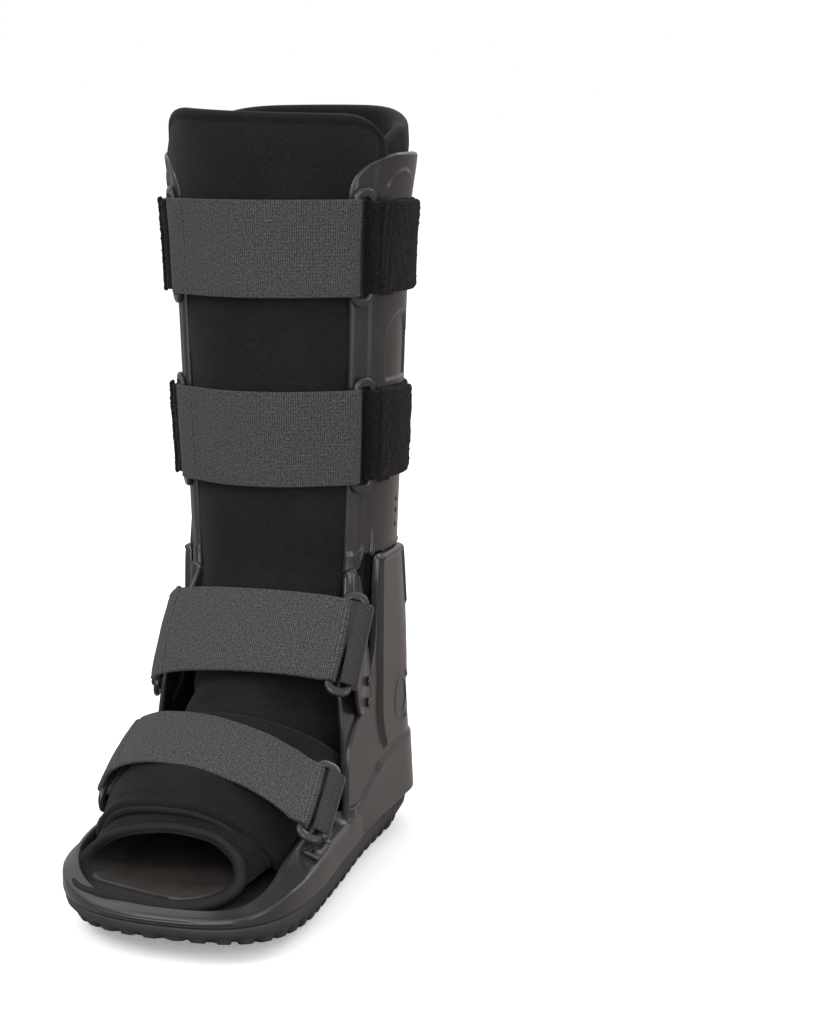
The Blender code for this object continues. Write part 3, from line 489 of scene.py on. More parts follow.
# Columns as in the part's source: share of the way down the leg and out to the toes; y and z of the
# front or top; y and z of the back or sole; half width; squareness; sideways shift; lag of the sides.
LINER_SECTIONS = (
    (0.00, -0.282, 2.0000,  0.800,  2.0207, 1.222, 2.00,  0.000, 0.000),
    (0.04, -0.288, 1.9310,  0.820,  1.9396, 1.238, 2.00,  0.000, 0.000),
    (0.12, -0.277, 1.7931,  0.800,  1.7931, 1.155, 2.00,  0.000, 0.000),
    (0.25, -0.263, 1.5568,  0.775,  1.5568, 1.098, 2.00,  0.000, 0.000),
    (0.34, -0.257, 1.3964,  0.760,  1.3964, 1.070, 2.00,  0.000, 0.000),
    (0.48, -0.245, 1.1032,  0.740,  1.1032, 1.000, 2.00,  0.000, 0.000),
    (0.55, -0.253, 0.9306,  0.735,  0.8892, 0.965, 2.05,  0.000, 0.000),
    (0.60, -0.303, 0.8064,  0.735,  0.6132, 0.950, 2.10,  0.000, 0.000),
    (0.65, -0.354, 0.7125,  0.755,  0.3509, 0.940, 2.30,  0.000, 0.000),
    (0.70, -0.406, 0.6270,  0.710,  0.0942, 0.935, 2.80,  0.000, 0.000),
    (0.75, -0.455, 0.5359,  0.300,  0.0059, 0.935, 4.00, -0.020, 0.000),
    (0.80, -0.505, 0.4613, -0.150,  0.0059, 0.950, 4.80, -0.067, 0.000),
    (0.86, -0.580, 0.3979, -0.400,  0.0059, 0.962, 5.00, -0.115, 0.010),
    (0.92, -0.655, 0.3233, -0.600,  0.0059, 0.952, 5.00, -0.163, 0.045),
    (0.97, -0.720, 0.2433, -0.780,  0.0280, 0.923, 4.80, -0.192, 0.095),
    (1.00, -0.752, 0.1881, -0.900,  0.0445, 0.894, 4.50, -0.225, 0.130),
)
floor_top = sole_height + floor_plate


def leg_level(share):
    """Height for a share that is 0 at the shell's floor, 1 at the joint line, 2 at the liner's top."""
    low, high = np.minimum(share, 1), np.maximum(share - 1, 0)
    return floor_top + low * (joint_height - floor_top) + high * (liner_height - joint_height)


def liner_point(way, around, lift=0.0):
    """A point on the liner: 'way' down the leg and along the foot, 'around' its section in turns.

    Each section lies in the plane through its front point and its back point.  Around it, 0 is the
    inner side, 0.25 the front or top, 0.5 the outer side and 0.75 the back or sole.
    """
    way, around = np.broadcast_arrays(np.asarray(way, float), np.asarray(around, float))
    lift = np.broadcast_to(lift, way.shape)
    row = columns(LINER_SECTIONS, way)
    reach = lambda share: np.where(share < 0, share * toe_reach, share * heel_reach)
    front = np.stack([reach(row[..., 0]), leg_level(row[..., 1])], -1)
    back = np.stack([reach(row[..., 2]), leg_level(row[..., 3])], -1)
    middle = (front + back) / 2
    axis = (front - back) / 2
    length = np.linalg.norm(axis, axis=-1)
    axis = axis / length[..., None]
    half = row[..., 4] * leg_half_width
    cos, sin = np.cos(2 * np.pi * around), np.sin(2 * np.pi * around)
    power = np.where(sin > 0, 1.0, 2 / row[..., 5])
    side = np.sign(cos) * np.abs(cos) ** power
    x = (half + lift) * side + row[..., 6] * leg_half_width
    u = (length + lift) * np.sign(sin) * np.abs(sin) ** power
    y = middle[..., 0] + axis[..., 0] * u + row[..., 7] * toe_reach * np.abs(side) ** 2.5
    return np.stack([x, y, middle[..., 1] + axis[..., 1] * u], -1)


def way_at_height(z):
    ways = np.linspace(0, 0.55, 60)
    return np.interp(-np.asarray(z, float), -leg_level(columns(LINER_SECTIONS, ways)[:, 1]), ways)


def leg_round(turn, z, lift):
    """A point beside the leg: 'turn' degrees from the side towards the back, 'lift' off the liner."""
    point = liner_point(way_at_height(z), (-np.asarray(turn, float) / 360) % 1, lift)
    point[..., 2] = z
    return point


TOE_LOOP = (
    (0.00, 33.0, -176.0, 38.0), (0.04, 31.0, -173.0, 42.5), (0.09, 26.5, -170.5, 46.8), (0.15, 16.4, -168.0, 52.6),
    (0.20, 4.8, -168.0, 55.3), (0.25, -8.0, -168.0, 56.4), (0.30, -20.0, -168.0, 55.5), (0.35, -34.0, -167.0, 52.4),
    (0.40, -46.0, -165.0, 47.5), (0.45, -55.5, -163.0, 41.0), (0.50, -60.5, -166.0, 36.0), (0.54, -61.5, -174.0, 32.5),
    (0.58, -58.5, -186.5, 29.8), (0.62, -51.0, -197.0, 28.8), (0.67, -37.5, -202.8, 28.3), (0.72, -21.5, -206.8, 28.0),
    (0.77, -3.5, -209.3, 27.9), (0.82, 13.0, -209.4, 27.9), (0.87, 26.0, -202.5, 28.6), (0.91, 31.5, -192.5, 29.9),
    (0.95, 34.5, -184.0, 33.0),
)


def toe_loop(around):
    """Middle line of the toe opening's edge, in millimetres in the table, round the liner's section."""
    rows = np.array(TOE_LOOP)
    rows = np.concatenate([rows[-3:] - (1, 0, 0, 0), rows, rows[:3] + (1, 0, 0, 0)])
    return columns(rows, np.asarray(around) % 1) / 1000


def make_liner():
    """Padded sock: the outside from the collar to the toes, a round edge, the inside back up, a round
    edge.  The collar dips at its sides; soft folds cross the ankle and the foot's outer side."""
    thick = lambda way: liner_wall + (foot_pad - liner_wall) * np.clip((way - 0.60) / 0.16, 0, 1)
    ways = np.concatenate([np.linspace(0, 0.1, 14)[:-1], np.linspace(0.1, 0.5, 40)[:-1],
                           np.linspace(0.5, 1.0, 110)])
    bend = np.linspace(0, np.pi, 9)[1:-1]
    way = np.concatenate([ways, np.full(7, 1.0), ways[::-1], np.full(7, 0.0)])
    depth = np.concatenate([0 * ways, (1 - np.cos(bend)) / 2, 0 * ways + 1, (1 + np.cos(bend)) / 2])
    reach = np.concatenate([0 * ways, np.sin(bend) / 2, 0 * ways, np.sin(bend) / 2])
    around = np.linspace(0, 1, 181)[:-1][None]
    way, depth, reach = way[:, None], depth[:, None], reach[:, None]
    outside = 1 - depth
    crease = np.sin(2 * np.pi * (way - 0.55) / 0.052 + 3 * np.cos(2 * np.pi * around))
    folds = 0.0011 * crease * step(way, 0.52, 0.60) * step(-way, -0.80, -0.70) * outside
    soft = 0.0006 * ripple(way * 22, around * 9, 3) * outside
    lift = -thick(way) * depth + folds + soft
    sole = 1 - 0.68 * step(-np.sin(2 * np.pi * around), 0.3, 0.8) * step(way, 0.64, 0.76)
    lift = lift * np.where(depth > 0, sole, 1)
    grid = liner_point(way, around, lift)
    ending = step(way, 0.925, 1.0)
    grid += (toe_loop(around) - liner_point(1.0, around)) * ending[..., None]
    back = step(-np.sin(2 * np.pi * around), -0.45, 0.15)
    top = np.clip(1 - way / 0.11, 0, 1)
    grid[..., :2] *= 1 + (0.052 * step(top, 0.15, 0.9) * back * (1 - 0.4 * depth))[..., None]
    dip = 0.004 * back + 0.016 * (1 - back) + 0.010 * np.abs(np.cos(2 * np.pi * around)) ** 6
    grid[..., 2] -= top ** 1.2 * dip
    grid[..., 2] += np.where(way < 0.5, reach * thick(way), 0)
    grid[..., 1] -= np.where(way > 0.5, reach * thick(way), 0)
    rows, cols = grid.shape[:2]
    sock = add_piece("liner_sock", grid, quads(rows, cols, True, True), CLOTH, slot="liner_cloth",
                     instead=("liner",))


def flap_shape(u, v):
    """Shin flap's back: u runs from the inner edge to the outer edge, v from its top to the instep."""
    across = 2 * u - 1
    way = v * 0.655
    narrow = np.clip((way - 0.10) / 0.30, 0, 1)
    reach = np.where(across > 0, 0.205 - 0.020 * narrow, 0.196 + 0.010 * narrow)
    around = 0.25 + across * reach
    grid = liner_point(way, around, cloth_gap)
    start = np.where(across > 0, 0.52, 0.62)
    corner = np.clip((np.abs(across) - start) / (1 - start), 0, 1)
    drop = np.where(across > 0, 0.034, 0.026) * (1 - (1 - corner ** 2.2) ** (1 / 2.2))
    tall = np.clip(1 - way / 0.11, 0, 1)
    grid[..., 2] += tall * (0.0030 * across - drop)
    grid[..., 1] += tall ** 2 * 0.0012 * ripple(across * 2, 0 * way, 5)
    return grid


def flap_relief(u, v):
    """Hem along the flap's edge with a sewn groove, and soft swells between the straps."""
    inside = np.minimum(np.minimum(u, 1 - u) * 0.150, v * 0.275)
    hem = 0.0010 * step(-inside, -0.0052, -0.0044) - 0.0013 * np.exp(-((inside - 0.0056) / 0.0009) ** 2)
    z = leg_level(columns(LINER_SECTIONS, v * 0.655)[..., 1])
    swell = 0
    for middle, half in ((0.306, 0.020), (0.205, 0.022), (0.405, 0.022)):
        swell = swell + np.exp(-((z - middle) / half) ** 2)
    return hem + 0.0016 * swell + 0.0004 * ripple(u * 9, v * 16, 8)


def make_shin_flap():
    flap = slab("shin_flap_pad", flap_shape, (0.150, 0.285), 0.0036, CLOTH, pitch=0.0016, relief=flap_relief,
                edge=0.0024, slot="liner_cloth", instead=("shin_flap",))


def make_flap_piping():
    """Piping down the flap's outer edge."""
    v = np.linspace(0.16, 0.80, 90)
    path = flap_shape(np.full(90, 0.985), v)
    path = path + (-0.0006, -0.0022, 0)
    return tube("flap_piping", path, 0.0036, 0.0036, BINDING, up=(0, -1, 0.2), slot="liner_cloth")


FLAP_EDGE = (
    (-1.00, 40.0, -149.0, 31.0), (-0.85, 38.5, -152.0, 36.5), (-0.70, 34.0, -155.0, 42.5), (-0.50, 25.5, -158.0, 50.5),
    (-0.30, 14.0, -160.0, 57.4), (-0.10, 0.0, -160.5, 61.2), (0.10, -16.0, -160.5, 62.0), (0.30, -31.0, -158.5, 60.5),
    (0.50, -43.0, -155.0, 57.0), (0.70, -50.5, -152.0, 51.7), (0.85, -55.0, -150.0, 45.5), (1.00, -57.5, -149.0, 38.0),
)


def toe_flap_shape(u, v):
    """Toe flap's back: u from the inner edge over the foot to the outer edge, v towards the toes."""
    across = 2 * u - 1
    way = 0.775 + v * (0.195 - 0.012 * across ** 2)
    around = 0.25 + across * 0.240
    edge = columns(FLAP_EDGE, across) / 1000
    low = liner_point(0.97 - 0.012 * across ** 2, around, cloth_gap)
    return liner_point(way, around, cloth_gap) + (edge - low) * (step(v, 0.1, 1.0) * v)[..., None]


def toe_flap_relief(u, v):
    edge = (1 - v) * 0.060
    hem = 0.0009 * step(-edge, -0.0052, -0.0040) - 0.0008 * np.exp(-((edge - 0.0055) / 0.0009) ** 2)
    puff = 0.0032 * step(v, 0.45, 0.75) * np.sin(np.pi * np.clip(v, 0, 1)) ** 0.6 * np.sin(np.pi * u) ** 0.5
    return hem + puff + 0.0008 * ripple(u * 5, v * 4, 11)


def make_toe_pieces():
    """Outer flap over the forefoot, and the round binding of the toe opening."""
    flap = slab("toe_flap_pad", toe_flap_shape, (0.130, 0.062), 0.0050, CLOTH, pitch=0.0015, outward=(0, -1, 1),
                relief=toe_flap_relief, edge=0.0022, slot="liner_cloth", instead=("toe_flap",))
    hem = toe_flap_shape(np.linspace(0.03, 0.97, 90), np.full(90, 1.0)) + (0, -0.0026, 0.0016)
    tube("toe_flap_hem", hem, 0.0030, 0.0044, BINDING, up=(0, -0.3, 1), slot="liner_cloth")
    around = np.linspace(0, 1, 141)[:-1]
    path = toe_loop(around)
    path[:, 1] -= 0.0012
    thick = 0.0050 + 0.0016 * np.exp(-((np.minimum(around, 1 - around)) / 0.10) ** 2)
    tube("toe_opening_binding", path, thick, thick * 1.05, BINDING, closed=True, up=(0, -0.6, 1), sides=16,
         slot="liner_cloth")


INSOLE_EDGES = (
    (-201.8, 3.0, 9.5), (-200.8, -1.5, 13.0), (-198.0, -12.0, 16.8), (-194.5, -22.5, 19.8), (-190.0, -35.0, 22.0),
    (-185.3, -46.0, 24.0), (-178.0, -53.5, 26.6), (-166.0, -56.5, 29.5), (-155.0, -56.0, 31.5), (-140.0, -53.5, 34.0),
    (-120.0, -51.0, 36.0), (-100.0, -48.0, 37.5), (-70.0, -44.0, 37.5), (-40.0, -40.0, 36.5), (0.0, -37.0, 36.0),
    (25.0, -30.0, 30.0), (42.0, -17.0, 17.0), (47.5, -5.0, 5.0),
)


def make_insole():
    """Flat insole inside the foot of the liner: its edges from the table, y and x in millimetres."""
    def shape(u, v):
        y = -201.8 + 249.3 * (u + 0.035 * np.sin(2 * np.pi * u) - 0.035 * np.sin(4 * np.pi * u) / 2)
        sides = columns(INSOLE_EDGES, y)
        x = sides[..., 0] + (sides[..., 1] - sides[..., 0]) * v
        return np.stack([x, y, 27.5 + 0 * x], -1) / 1000
    insole = slab("insole_pad", shape, (0.247, 0.075), 0.0022, FOAM, pitch=0.0022, outward=(0, 0, 1),
                  relief=lambda u, v: 0.0006 * np.exp(-((np.minimum(v, 1 - v) * 0.075 - 0.003) / 0.0012) ** 2),
                  slot="insole_foam", instead=("insole",))


make_liner()
make_shin_flap()
make_flap_piping()
make_toe_pieces()
make_insole()


# ---- Sole and shell ----

SOLE_WIDTHS = (
    (0.00, 0.93, 0.80), (0.14, 1.00, 0.97), (0.27, 1.02, 1.00), (0.40, 0.70, 0.76),
    (0.52, 0.46, 0.42), (0.66, 0.12, 0.14), (0.80, 0.00, 0.02), (1.00, 0.00, 0.00),
)
OUTLINE_ROWS = 150


def sole_plan(inset=0.0):
    """Closed outline of the shell's edge, from the toe tip round the inner side and back."""
    turn = np.linspace(0, np.pi, OUTLINE_ROWS + 1)
    way = (1 - np.cos(turn)) / 2
    y = -toe_reach + way * sole_length
    toe = np.clip((toe_round - way * sole_length) / toe_round, 0, 1)
    heel = np.clip((heel_round - (1 - way) * sole_length) / heel_round, 0, 1)
    end = (1 - toe ** 2.5) ** (1 / 2.5) * (1 - heel ** 3.0) ** (1 / 3.0)
    share = columns(SOLE_WIDTHS, way)
    inner = heel_half_width + (inner_ball_width - heel_half_width) * share[:, 0]
    outer = heel_half_width + (outer_ball_width - heel_half_width) * share[:, 1]
    lean = toe_skew * toe ** 2
    right = np.stack([inner * end + lean, y], axis=1)
    left = np.stack([-outer * end + lean, y], axis=1)
    ring = np.concatenate([right, left[-2:0:-1]])
    inset = np.broadcast_to(inset, len(ring))[:, None]
    ahead = np.roll(ring, -1, axis=0) - np.roll(ring, 1, axis=0)
    ahead /= np.linalg.norm(ahead, axis=1, keepdims=True)
    return ring + np.stack([-ahead[:, 1], ahead[:, 0]], axis=1) * inset


def rocker(y):
    """Height of the rubber's underside: flat in the middle, curving up to the toe and the heel."""
    toe = np.clip((-y - 0.42 * toe_reach) / (0.58 * toe_reach), 0, 1)
    heel = np.clip((y - 0.45 * heel_reach) / (0.55 * heel_reach), 0, 1)
    return toe_spring * toe ** 1.8 + heel_spring * heel ** 1.6


RIM_RISE = ((0.00, -0.17), (0.03, -0.13), (0.06, 0.00), (0.10, 0.18), (0.20, 0.62), (0.27, 0.90), (0.36, 1.00), (0.52, 0.94), (1.00, 0.90))


def rim_height(y):
    rise = columns(RIM_RISE, (y + toe_reach) / sole_length)[..., 0]
    return sole_height + toe_rim_rise + (ball_rim_rise - toe_rim_rise) * rise


def rim_band():
    """Width of the sloped rim at each point of the plan: wide at the toe and along the inner side."""
    plan = sole_plan()
    toe = np.clip(1 - (plan[:, 1] + toe_reach) / (0.8 * toe_round), 0, 1) ** 0.7
    inner = np.clip(0.5 + plan[:, 0] / heel_half_width, 0, 1)
    side = rim_band_outer + (rim_band_inner - rim_band_outer) * inner
    back = np.clip((plan[:, 1] + wall_front + 0.008) / 0.016, 0, 1)
    side = side + (shell_wall * 0.4 - side) * back
    return side + (rim_band_toe - side) * toe


def outline_length():
    """Distance along the outline at each of its points, and its whole length."""
    ring = sole_plan(0.004)
    gaps = np.linalg.norm(np.roll(ring, -1, 0) - ring, axis=1)
    return np.concatenate([[0], np.cumsum(gaps)[:-1]]), gaps.sum()


def ring_stack(name, rings, material, cap_rows=26, cap_relief=None, **more):
    """Closed solid from rings of the outline, its ends closed by drawing the ring in to a middle line."""
    def cap(ring, relief):
        middle = np.stack([0 * ring[:, 0], ring[:, 1], ring[:, 2]], -1)
        mean = ring[:, :2].mean(axis=0)
        middle[:, 0] = mean[0]
        middle[:, 1] = mean[1] + (ring[:, 1] - mean[1]) * 0.86
        layers = []
        for share in np.linspace(0, 1, cap_rows)[1:]:
            layer = ring + (middle - ring) * share
            layer[:, 2] = relief(layer[:, 0], layer[:, 1]) if relief else ring[:, 2]
            layers.append(layer)
        return layers
    low = cap(rings[0], cap_relief)[::-1]
    high = cap(rings[-1], None)
    grid = np.array(low + list(rings) + high)
    rows, cols = grid.shape[:2]
    faces = quads(rows, cols, wrap_cols=True)
    half = cols // 2
    for row in (0, rows - 1):
        base = row * cols
        one = base + np.arange(0, half)
        two = base + (cols - np.arange(0, half)) % cols
        three = base + (cols - np.arange(1, half + 1)) % cols
        four = base + np.arange(1, half + 1)
        seam = np.stack([one, two, three, four], -1)[1:-1]
        faces = np.concatenate([faces, seam if row else seam[:, ::-1]])
    piece = add_piece(name, grid, faces, material, **more)
    return piece


def make_outsole():
    """Rubber sole: a side that leans in to the tread, cut by notches, over a rocker underside with
    cross grooves."""
    along, total = outline_length()
    count = 52
    phase = (along / total * count) % 1
    notch = step(-np.abs(phase - 0.5), -0.22, -0.12)
    quiet = step(sole_plan()[:, 1], heel_reach - 0.004, heel_reach - 0.001)
    notch = notch * (1 - quiet)

    def tread(x, y):
        """Cross grooves every 13 mm, bowed forwards in the middle, fading out towards the sides."""
        wave = (y + 0.35 * np.abs(x)) / 0.013 % 1
        groove = step(-np.abs(wave - 0.5), -0.20, -0.13)
        return rocker(y) + 0.0032 * groove * step(-np.abs(x), -0.060, -0.052)
    rings = []
    for inset, share, cut in ((0.0125, 0.0, 0.6), (0.0100, 0.012, 1.0), (0.0084, 0.045, 1.0), (0.0076, 0.12, 1.0),
                              (0.0070, 0.24, 1.0), (0.0064, 0.33, 1.0), (0.0058, 0.37, 0.35), (0.0050, 0.40, 0.0),
                              (0.0034, 0.52, 0), (0.0022, 0.62, 0), (0.0014, 0.80, 0), (0.0012, 0.94, 0),
                              (0.0016, 0.985, 0), (0.0030, 1.0, 0)):
        ring = sole_plan(inset + 0.0036 * notch * cut)
        low = rocker(ring[:, 1])
        z = low + (rubber_top - low) * share + 0.0026 * notch * cut * (1 - share) * (share < 0.06)
        rings.append(np.column_stack([ring, z]))
    ring_stack("rubber_sole", rings, RUBBER, cap_rows=44, cap_relief=tread, slot="sole_rubber",
               instead=("outsole",))


def make_tray():
    """The shell's floor and edge: band, rounded shoulder, sloped rim with a raised lip, inner wall."""
    band = rim_band()
    edge = sole_plan()
    lip = rim_height(edge[:, 1])
    low = np.minimum(sole_height + edge_wall, lip - 0.0022)
    wall = shell_wall * 0.8
    profile = [(0.0040, sole_height), (0.0015, sole_height + 0.0001), (0.0006, sole_height + 0.0004),
               (0.0002, sole_height + 0.0012), (0.0000, sole_height + 0.0024), (0.0000, low - 0.0018),
               (0.0002, low - 0.0006)]
    inner = low + (lip - low) * 0.45
    for share in (0.25, 0.5, 0.75, 1.0):
        turn = share * np.pi / 2
        profile.append(((band * 0.25 + 0.0003) * (1 - np.cos(turn)) + 0.0002, low + (inner - low) * np.sin(turn)))
    start = band * 0.25 + 0.0005
    for share in (0.15, 0.4, 0.65, 0.85):
        profile.append((start + (band - start) * share, inner + (lip - inner) * share ** 1.15))
    profile += [(band - 0.0006, lip - 0.0001), (band + 0.0002, lip + 0.0003), (band + wall * 0.5, lip + 0.0003),
                (band + wall * 0.9, lip - 0.0004), (band + wall + 0.0002, lip - 0.0016),
                (band + wall + 0.0008, (lip + floor_top) / 2), (band + wall + 0.0014, floor_top + 0.0010),
                (band + wall + 0.0024, floor_top)]
    rings = [np.column_stack([sole_plan(inset), np.broadcast_to(z, len(edge))]) for inset, z in profile]
    ring_stack("shell_tray", rings, PLASTIC, slot="shell_plastic", instead=("lower_shell",))


WALL_TOP = (
    (0.000, 0.27), (0.012, 0.34), (0.040, 0.39), (0.100, 0.44), (0.170, 0.47), (0.240, 0.51),
    (0.300, 0.57), (0.340, 0.66), (0.365, 0.82), (0.380, 0.99), (0.390, 1.00), (0.530, 1.00),
    (0.700, 1.00), (0.715, 0.96), (0.740, 0.80), (0.770, 0.66), (0.810, 0.55), (0.880, 0.47),
    (1.000, 0.44),
)


def wall_point(share, z, inset):
    """A point of the tall wall: 'share' of the way from its front edge to the back of the heel."""
    lift = np.clip((z - sole_height) / (joint_height - sole_height), 0, 1)
    back = heel_reach * (1 - cup_lean * lift) - inset
    half = heel_half_width + wall_swell + (column_half_width - heel_half_width - wall_swell) * lift ** 1.5
    y = -wall_front + (back + wall_front) * share
    length = heel_round * (1 + 0.35 * lift)
    end = np.clip((length - (back - y)) / length, 0, 1)
    power = 3.0 - 0.6 * lift
    return np.stack([(half - inset) * np.maximum(1 - end ** power, 0) ** (1 / power), y, z], axis=-1)


def wall_top(share):
    """Top edge of the wall, with its corners eased."""
    near = np.linspace(-0.012, 0.012, 7)
    shares = np.clip(np.asarray(share)[..., None] + near, 0, 1)
    rise = np.interp(shares, *zip(*WALL_TOP)).mean(axis=-1)
    rise = np.where(np.asarray(share) < 0.012, np.interp(share, *zip(*WALL_TOP)), rise)
    return sole_height + (joint_height - sole_height) * rise


def wall_relief(y, z):
    """What stands proud on the wall: a raised panel with a round foot, a low swell under a curved
    crease, and a shallow round seat for the disc."""
    wide = 0.026 - 0.010 * np.clip((0.092 - z) / 0.028, 0, 1) ** 2
    panel = step(-np.abs(y - 0.006), -wide, -wide + 0.0016) * step(z, 0.0635, 0.0660)
    line = 0.0395 + 0.0225 / (1 + np.exp(-(y + 0.040) / 0.014))
    crease = 0.0011 * step(line - z, 0.0, 0.0030)
    away = np.hypot(y - disc_place * heel_reach, z - disc_height)
    seat = -0.0008 * step(-away, -0.0150, -0.0138) + 0.0005 * np.exp(-((away - 0.0150) / 0.0008) ** 2)
    return 0.0023 * panel + 1.3 * crease + seat


def make_walls():
    """Tall side walls in one piece round the heel: foot in the tray, top edge from the table."""
    span = (0.420, 0.120)

    def shape(u, v):
        share = 1 - np.abs(2 * u - 1)
        side = np.where(u < 0.5, 1, -1)
        low = 0.0235 + 0 * share
        z = low + (wall_top(share) - low) * v
        point = wall_point(share, z, shell_wall / 2)
        point[..., 0] *= side
        return point

    def relief(u, v):
        """The wall's forms, and a raised lip along its top and front edge."""
        point = shape(u, v)
        share = 1 - np.abs(2 * u - 1)
        below = (wall_top(share) - 0.0235) * (1 - v)
        inside = np.minimum(below, share * (heel_reach + wall_front) + 0.0004)
        lip = 0.0011 * np.exp(-((inside - 0.0024) / 0.0017) ** 2)
        return wall_relief(point[..., 1], point[..., 2]) + lip
    slab("shell_walls", shape, span, shell_wall, PLASTIC, pitch=0.0013, outward=lambda grid: grid * (1, 0.3, 0),
         relief=relief, seat=False, slot="shell_plastic")


make_outsole()
make_tray()
make_walls()

WING_ROWS = (
    (0.370, -0.344, -0.312, 1.045, 1.045),
    (0.460, -0.344, -0.295, 1.038, 1.045),
    (0.550, -0.340, -0.255, 1.005, 1.045),
    (0.650, -0.330, -0.205, 0.972, 1.036),
    (0.770, -0.268, -0.156, 0.925, 1.000),
    (0.870, -0.210, -0.132, 0.870, 0.970),
    (0.938, -0.172, -0.126, 0.822, 0.927),
)


def make_wing(side, name):
    """Thin wing from the wall's foot up to the upright, with a round rod at its top."""
    def shape(u, v):
        row = columns(WING_ROWS, 0.370 + 0.568 * u)
        y = (row[..., 0] + (row[..., 1] - row[..., 0]) * v) * toe_reach
        x = (row[..., 2] + (row[..., 3] - row[..., 2]) * v) * leg_half_width
        z = (0.370 + 0.568 * u) * joint_height
        return mirror(np.stack([x, y, z], -1), side)
    slab("shell_wing_" + name, shape, (0.110, 0.026), 0.0030, PLASTIC, pitch=0.002, outward=(side, 0, 0),
         slot="shell_plastic")
    low = leg_round(-34.5, np.array(0.1718), shin_flap_wall + 2 * cloth_gap + upright_wall / 2)
    foot = low + (0.0015, -0.0020, -0.0240)
    path = foot + (low - foot) * np.linspace(0, 1, 8)[:, None]
    tube("wing_rod_" + name, mirror(path, side), 0.0090, 0.0090, PLASTIC, up=(0, 1, 0), sides=24,
         slot="shell_plastic")


UPRIGHT_EDGES = (
    (0.000, -40, 25), (0.130, -40, 22), (0.450, -40, 20), (0.600, -40, 20), (0.780, -41, 22),
    (0.880, -42, 24), (0.925, -41, 24), (0.960, -36, 23), (0.985, -26, 19), (1.000, -13, 11),
)
flange_fold = -28.0


def arch(turn, z, left, right, low, high, ease=1.0):
    """Share inside an arch: straight sides between two turns, a round head, a square foot."""
    middle, half = (left + right) / 2, (right - left) / 2
    tall = half * 0.00105
    across = np.abs(turn - middle) / half
    head = high - tall * (1 - np.sqrt(np.clip(1 - across ** 2, 0, 1)))
    return step(half - np.abs(turn - middle), 0, 1.6 * ease) * step(head - z, 0, 0.0016 * ease) * step(
        z - low, 0, 0.0016)


def upright_relief(turn, z):
    """What stands proud on an upright: its side face past a fold, two arched panels, a raised rim along
    the flange, two pin holes and the shallow step above the joint line."""
    face = 0.0009 * step(turn, flange_fold - 1.5, flange_fold + 1.5)
    top = 0.0013 * arch(turn, z, -21, 5, 0.370, 0.4015, 0.8)
    recess = -0.0018 * arch(turn, z, -15.5, 19, 0.281, 0.3205, 0.8)
    fold = 37.0 - 2.6 * step(-z, -0.262, -0.240)
    rim = 0.0013 * np.clip((turn + 41.0) / (41.0 - fold), 0, 1) * step(-turn - fold, -0.6, 0.3)
    rim = rim * step(0.398 - z, 0, 0.012)
    holes = 0
    for height in (0.2100, 0.2030, 0.1950):
        away = np.hypot((turn - 5.0) * 0.00096, z - height)
        holes = holes - 0.0014 * step(-away, -0.0016, -0.0009)
    lip = 0.0007 * step(-z, -joint_height - 0.0030, -joint_height - 0.0018) * step(turn, -20, -18)
    collar = 0.0009 * step(-z, -joint_height - 0.0032, -joint_height - 0.0022) * step(-turn, 27, 29)
    return face + top + recess + rim + holes + lip + collar


def make_upright(side, name):
    """Curved bar beside the leg; its front flange folds back and reaches lower than its face."""
    low = joint_height + piece_gap

    def where(u, v):
        edges = columns(UPRIGHT_EDGES, u)
        turn = edges[..., 0] + (edges[..., 1] - edges[..., 0]) * v
        foot = low - flange_drop * step(-turn, -flange_fold, -flange_fold + 2.5) * (1 - u) ** 6
        return turn, foot + (upright_top - low) * u

    def shape(u, v):
        turn, z = where(u, v)
        return mirror(leg_round(turn, z, shin_flap_wall + 2 * cloth_gap), side)
    slab("upright_bar_" + name, shape, (0.2285, 0.062), upright_wall, PLASTIC, pitch=0.0010,
         outward=(side, 0, 0), relief=lambda u, v: upright_relief(*where(u, v)), slot="shell_plastic",
         instead=("upright_" + name,))
    rise = np.linspace(0, 1, 16)
    z = joint_height + 0.0012 + 0.0175 * rise
    path = leg_round(-21.5 + 0 * z, z, shin_flap_wall + 2 * cloth_gap + upright_wall + 0.0004)
    tube("upright_rib_" + name, mirror(path, side), 0.0052 * (1 - rise) + 0.0006, 0.0040 * (1 - rise) + 0.0006,
         PLASTIC, up=(side, 0, 0), sides=12, slot="shell_plastic")


over_shell = shin_flap_wall + 3 * cloth_gap + upright_wall


def ring_frame(name, middle, ahead, upward, width, instead):
    """Flat ring round a strap's end: straight bars, and a broad rounded lobe at each end.

    Its centre line is a long rounded rectangle; the bar's section widens on the lobes.
    """
    outward = np.cross(ahead, upward)
    half_long, half_short = width / 2 + ring_margin, ring_opening / 2 + ring_bar
    turn = 2 * np.pi * (np.arange(96) + 0.5) / 96
    corner = half_short * 0.86

    def rounded(half_x, half_y, radius):
        x = np.sign(np.cos(turn)) * (half_x - radius) + radius * np.cos(turn)
        y = np.sign(np.sin(turn)) * (half_y - radius) + radius * np.sin(turn)
        return np.stack([x, y], -1)
    outer = rounded(half_short, half_long, corner)
    inner = rounded(ring_opening / 2, width / 2 + 0.0008, ring_opening * 0.36)
    across = 2 * np.pi * (np.arange(14) + 0.5) / 14
    mid, half = (outer + inner) / 2, (outer - inner) / 2
    cos = np.sign(np.cos(across)) * np.abs(np.cos(across)) ** 0.75
    sin = np.sign(np.sin(across)) * np.abs(np.sin(across)) ** 0.75
    flat = mid[:, None] + half[:, None] * cos[None, :, None]
    deep = ring_bar / 2 * sin
    grid = middle + flat[..., :1] * ahead + flat[..., 1:] * upward + deep[None, :, None] * outward
    return add_piece(name, grid, quads(96, 14, True, True), PLASTIC, slot="shell_plastic", instead=instead)


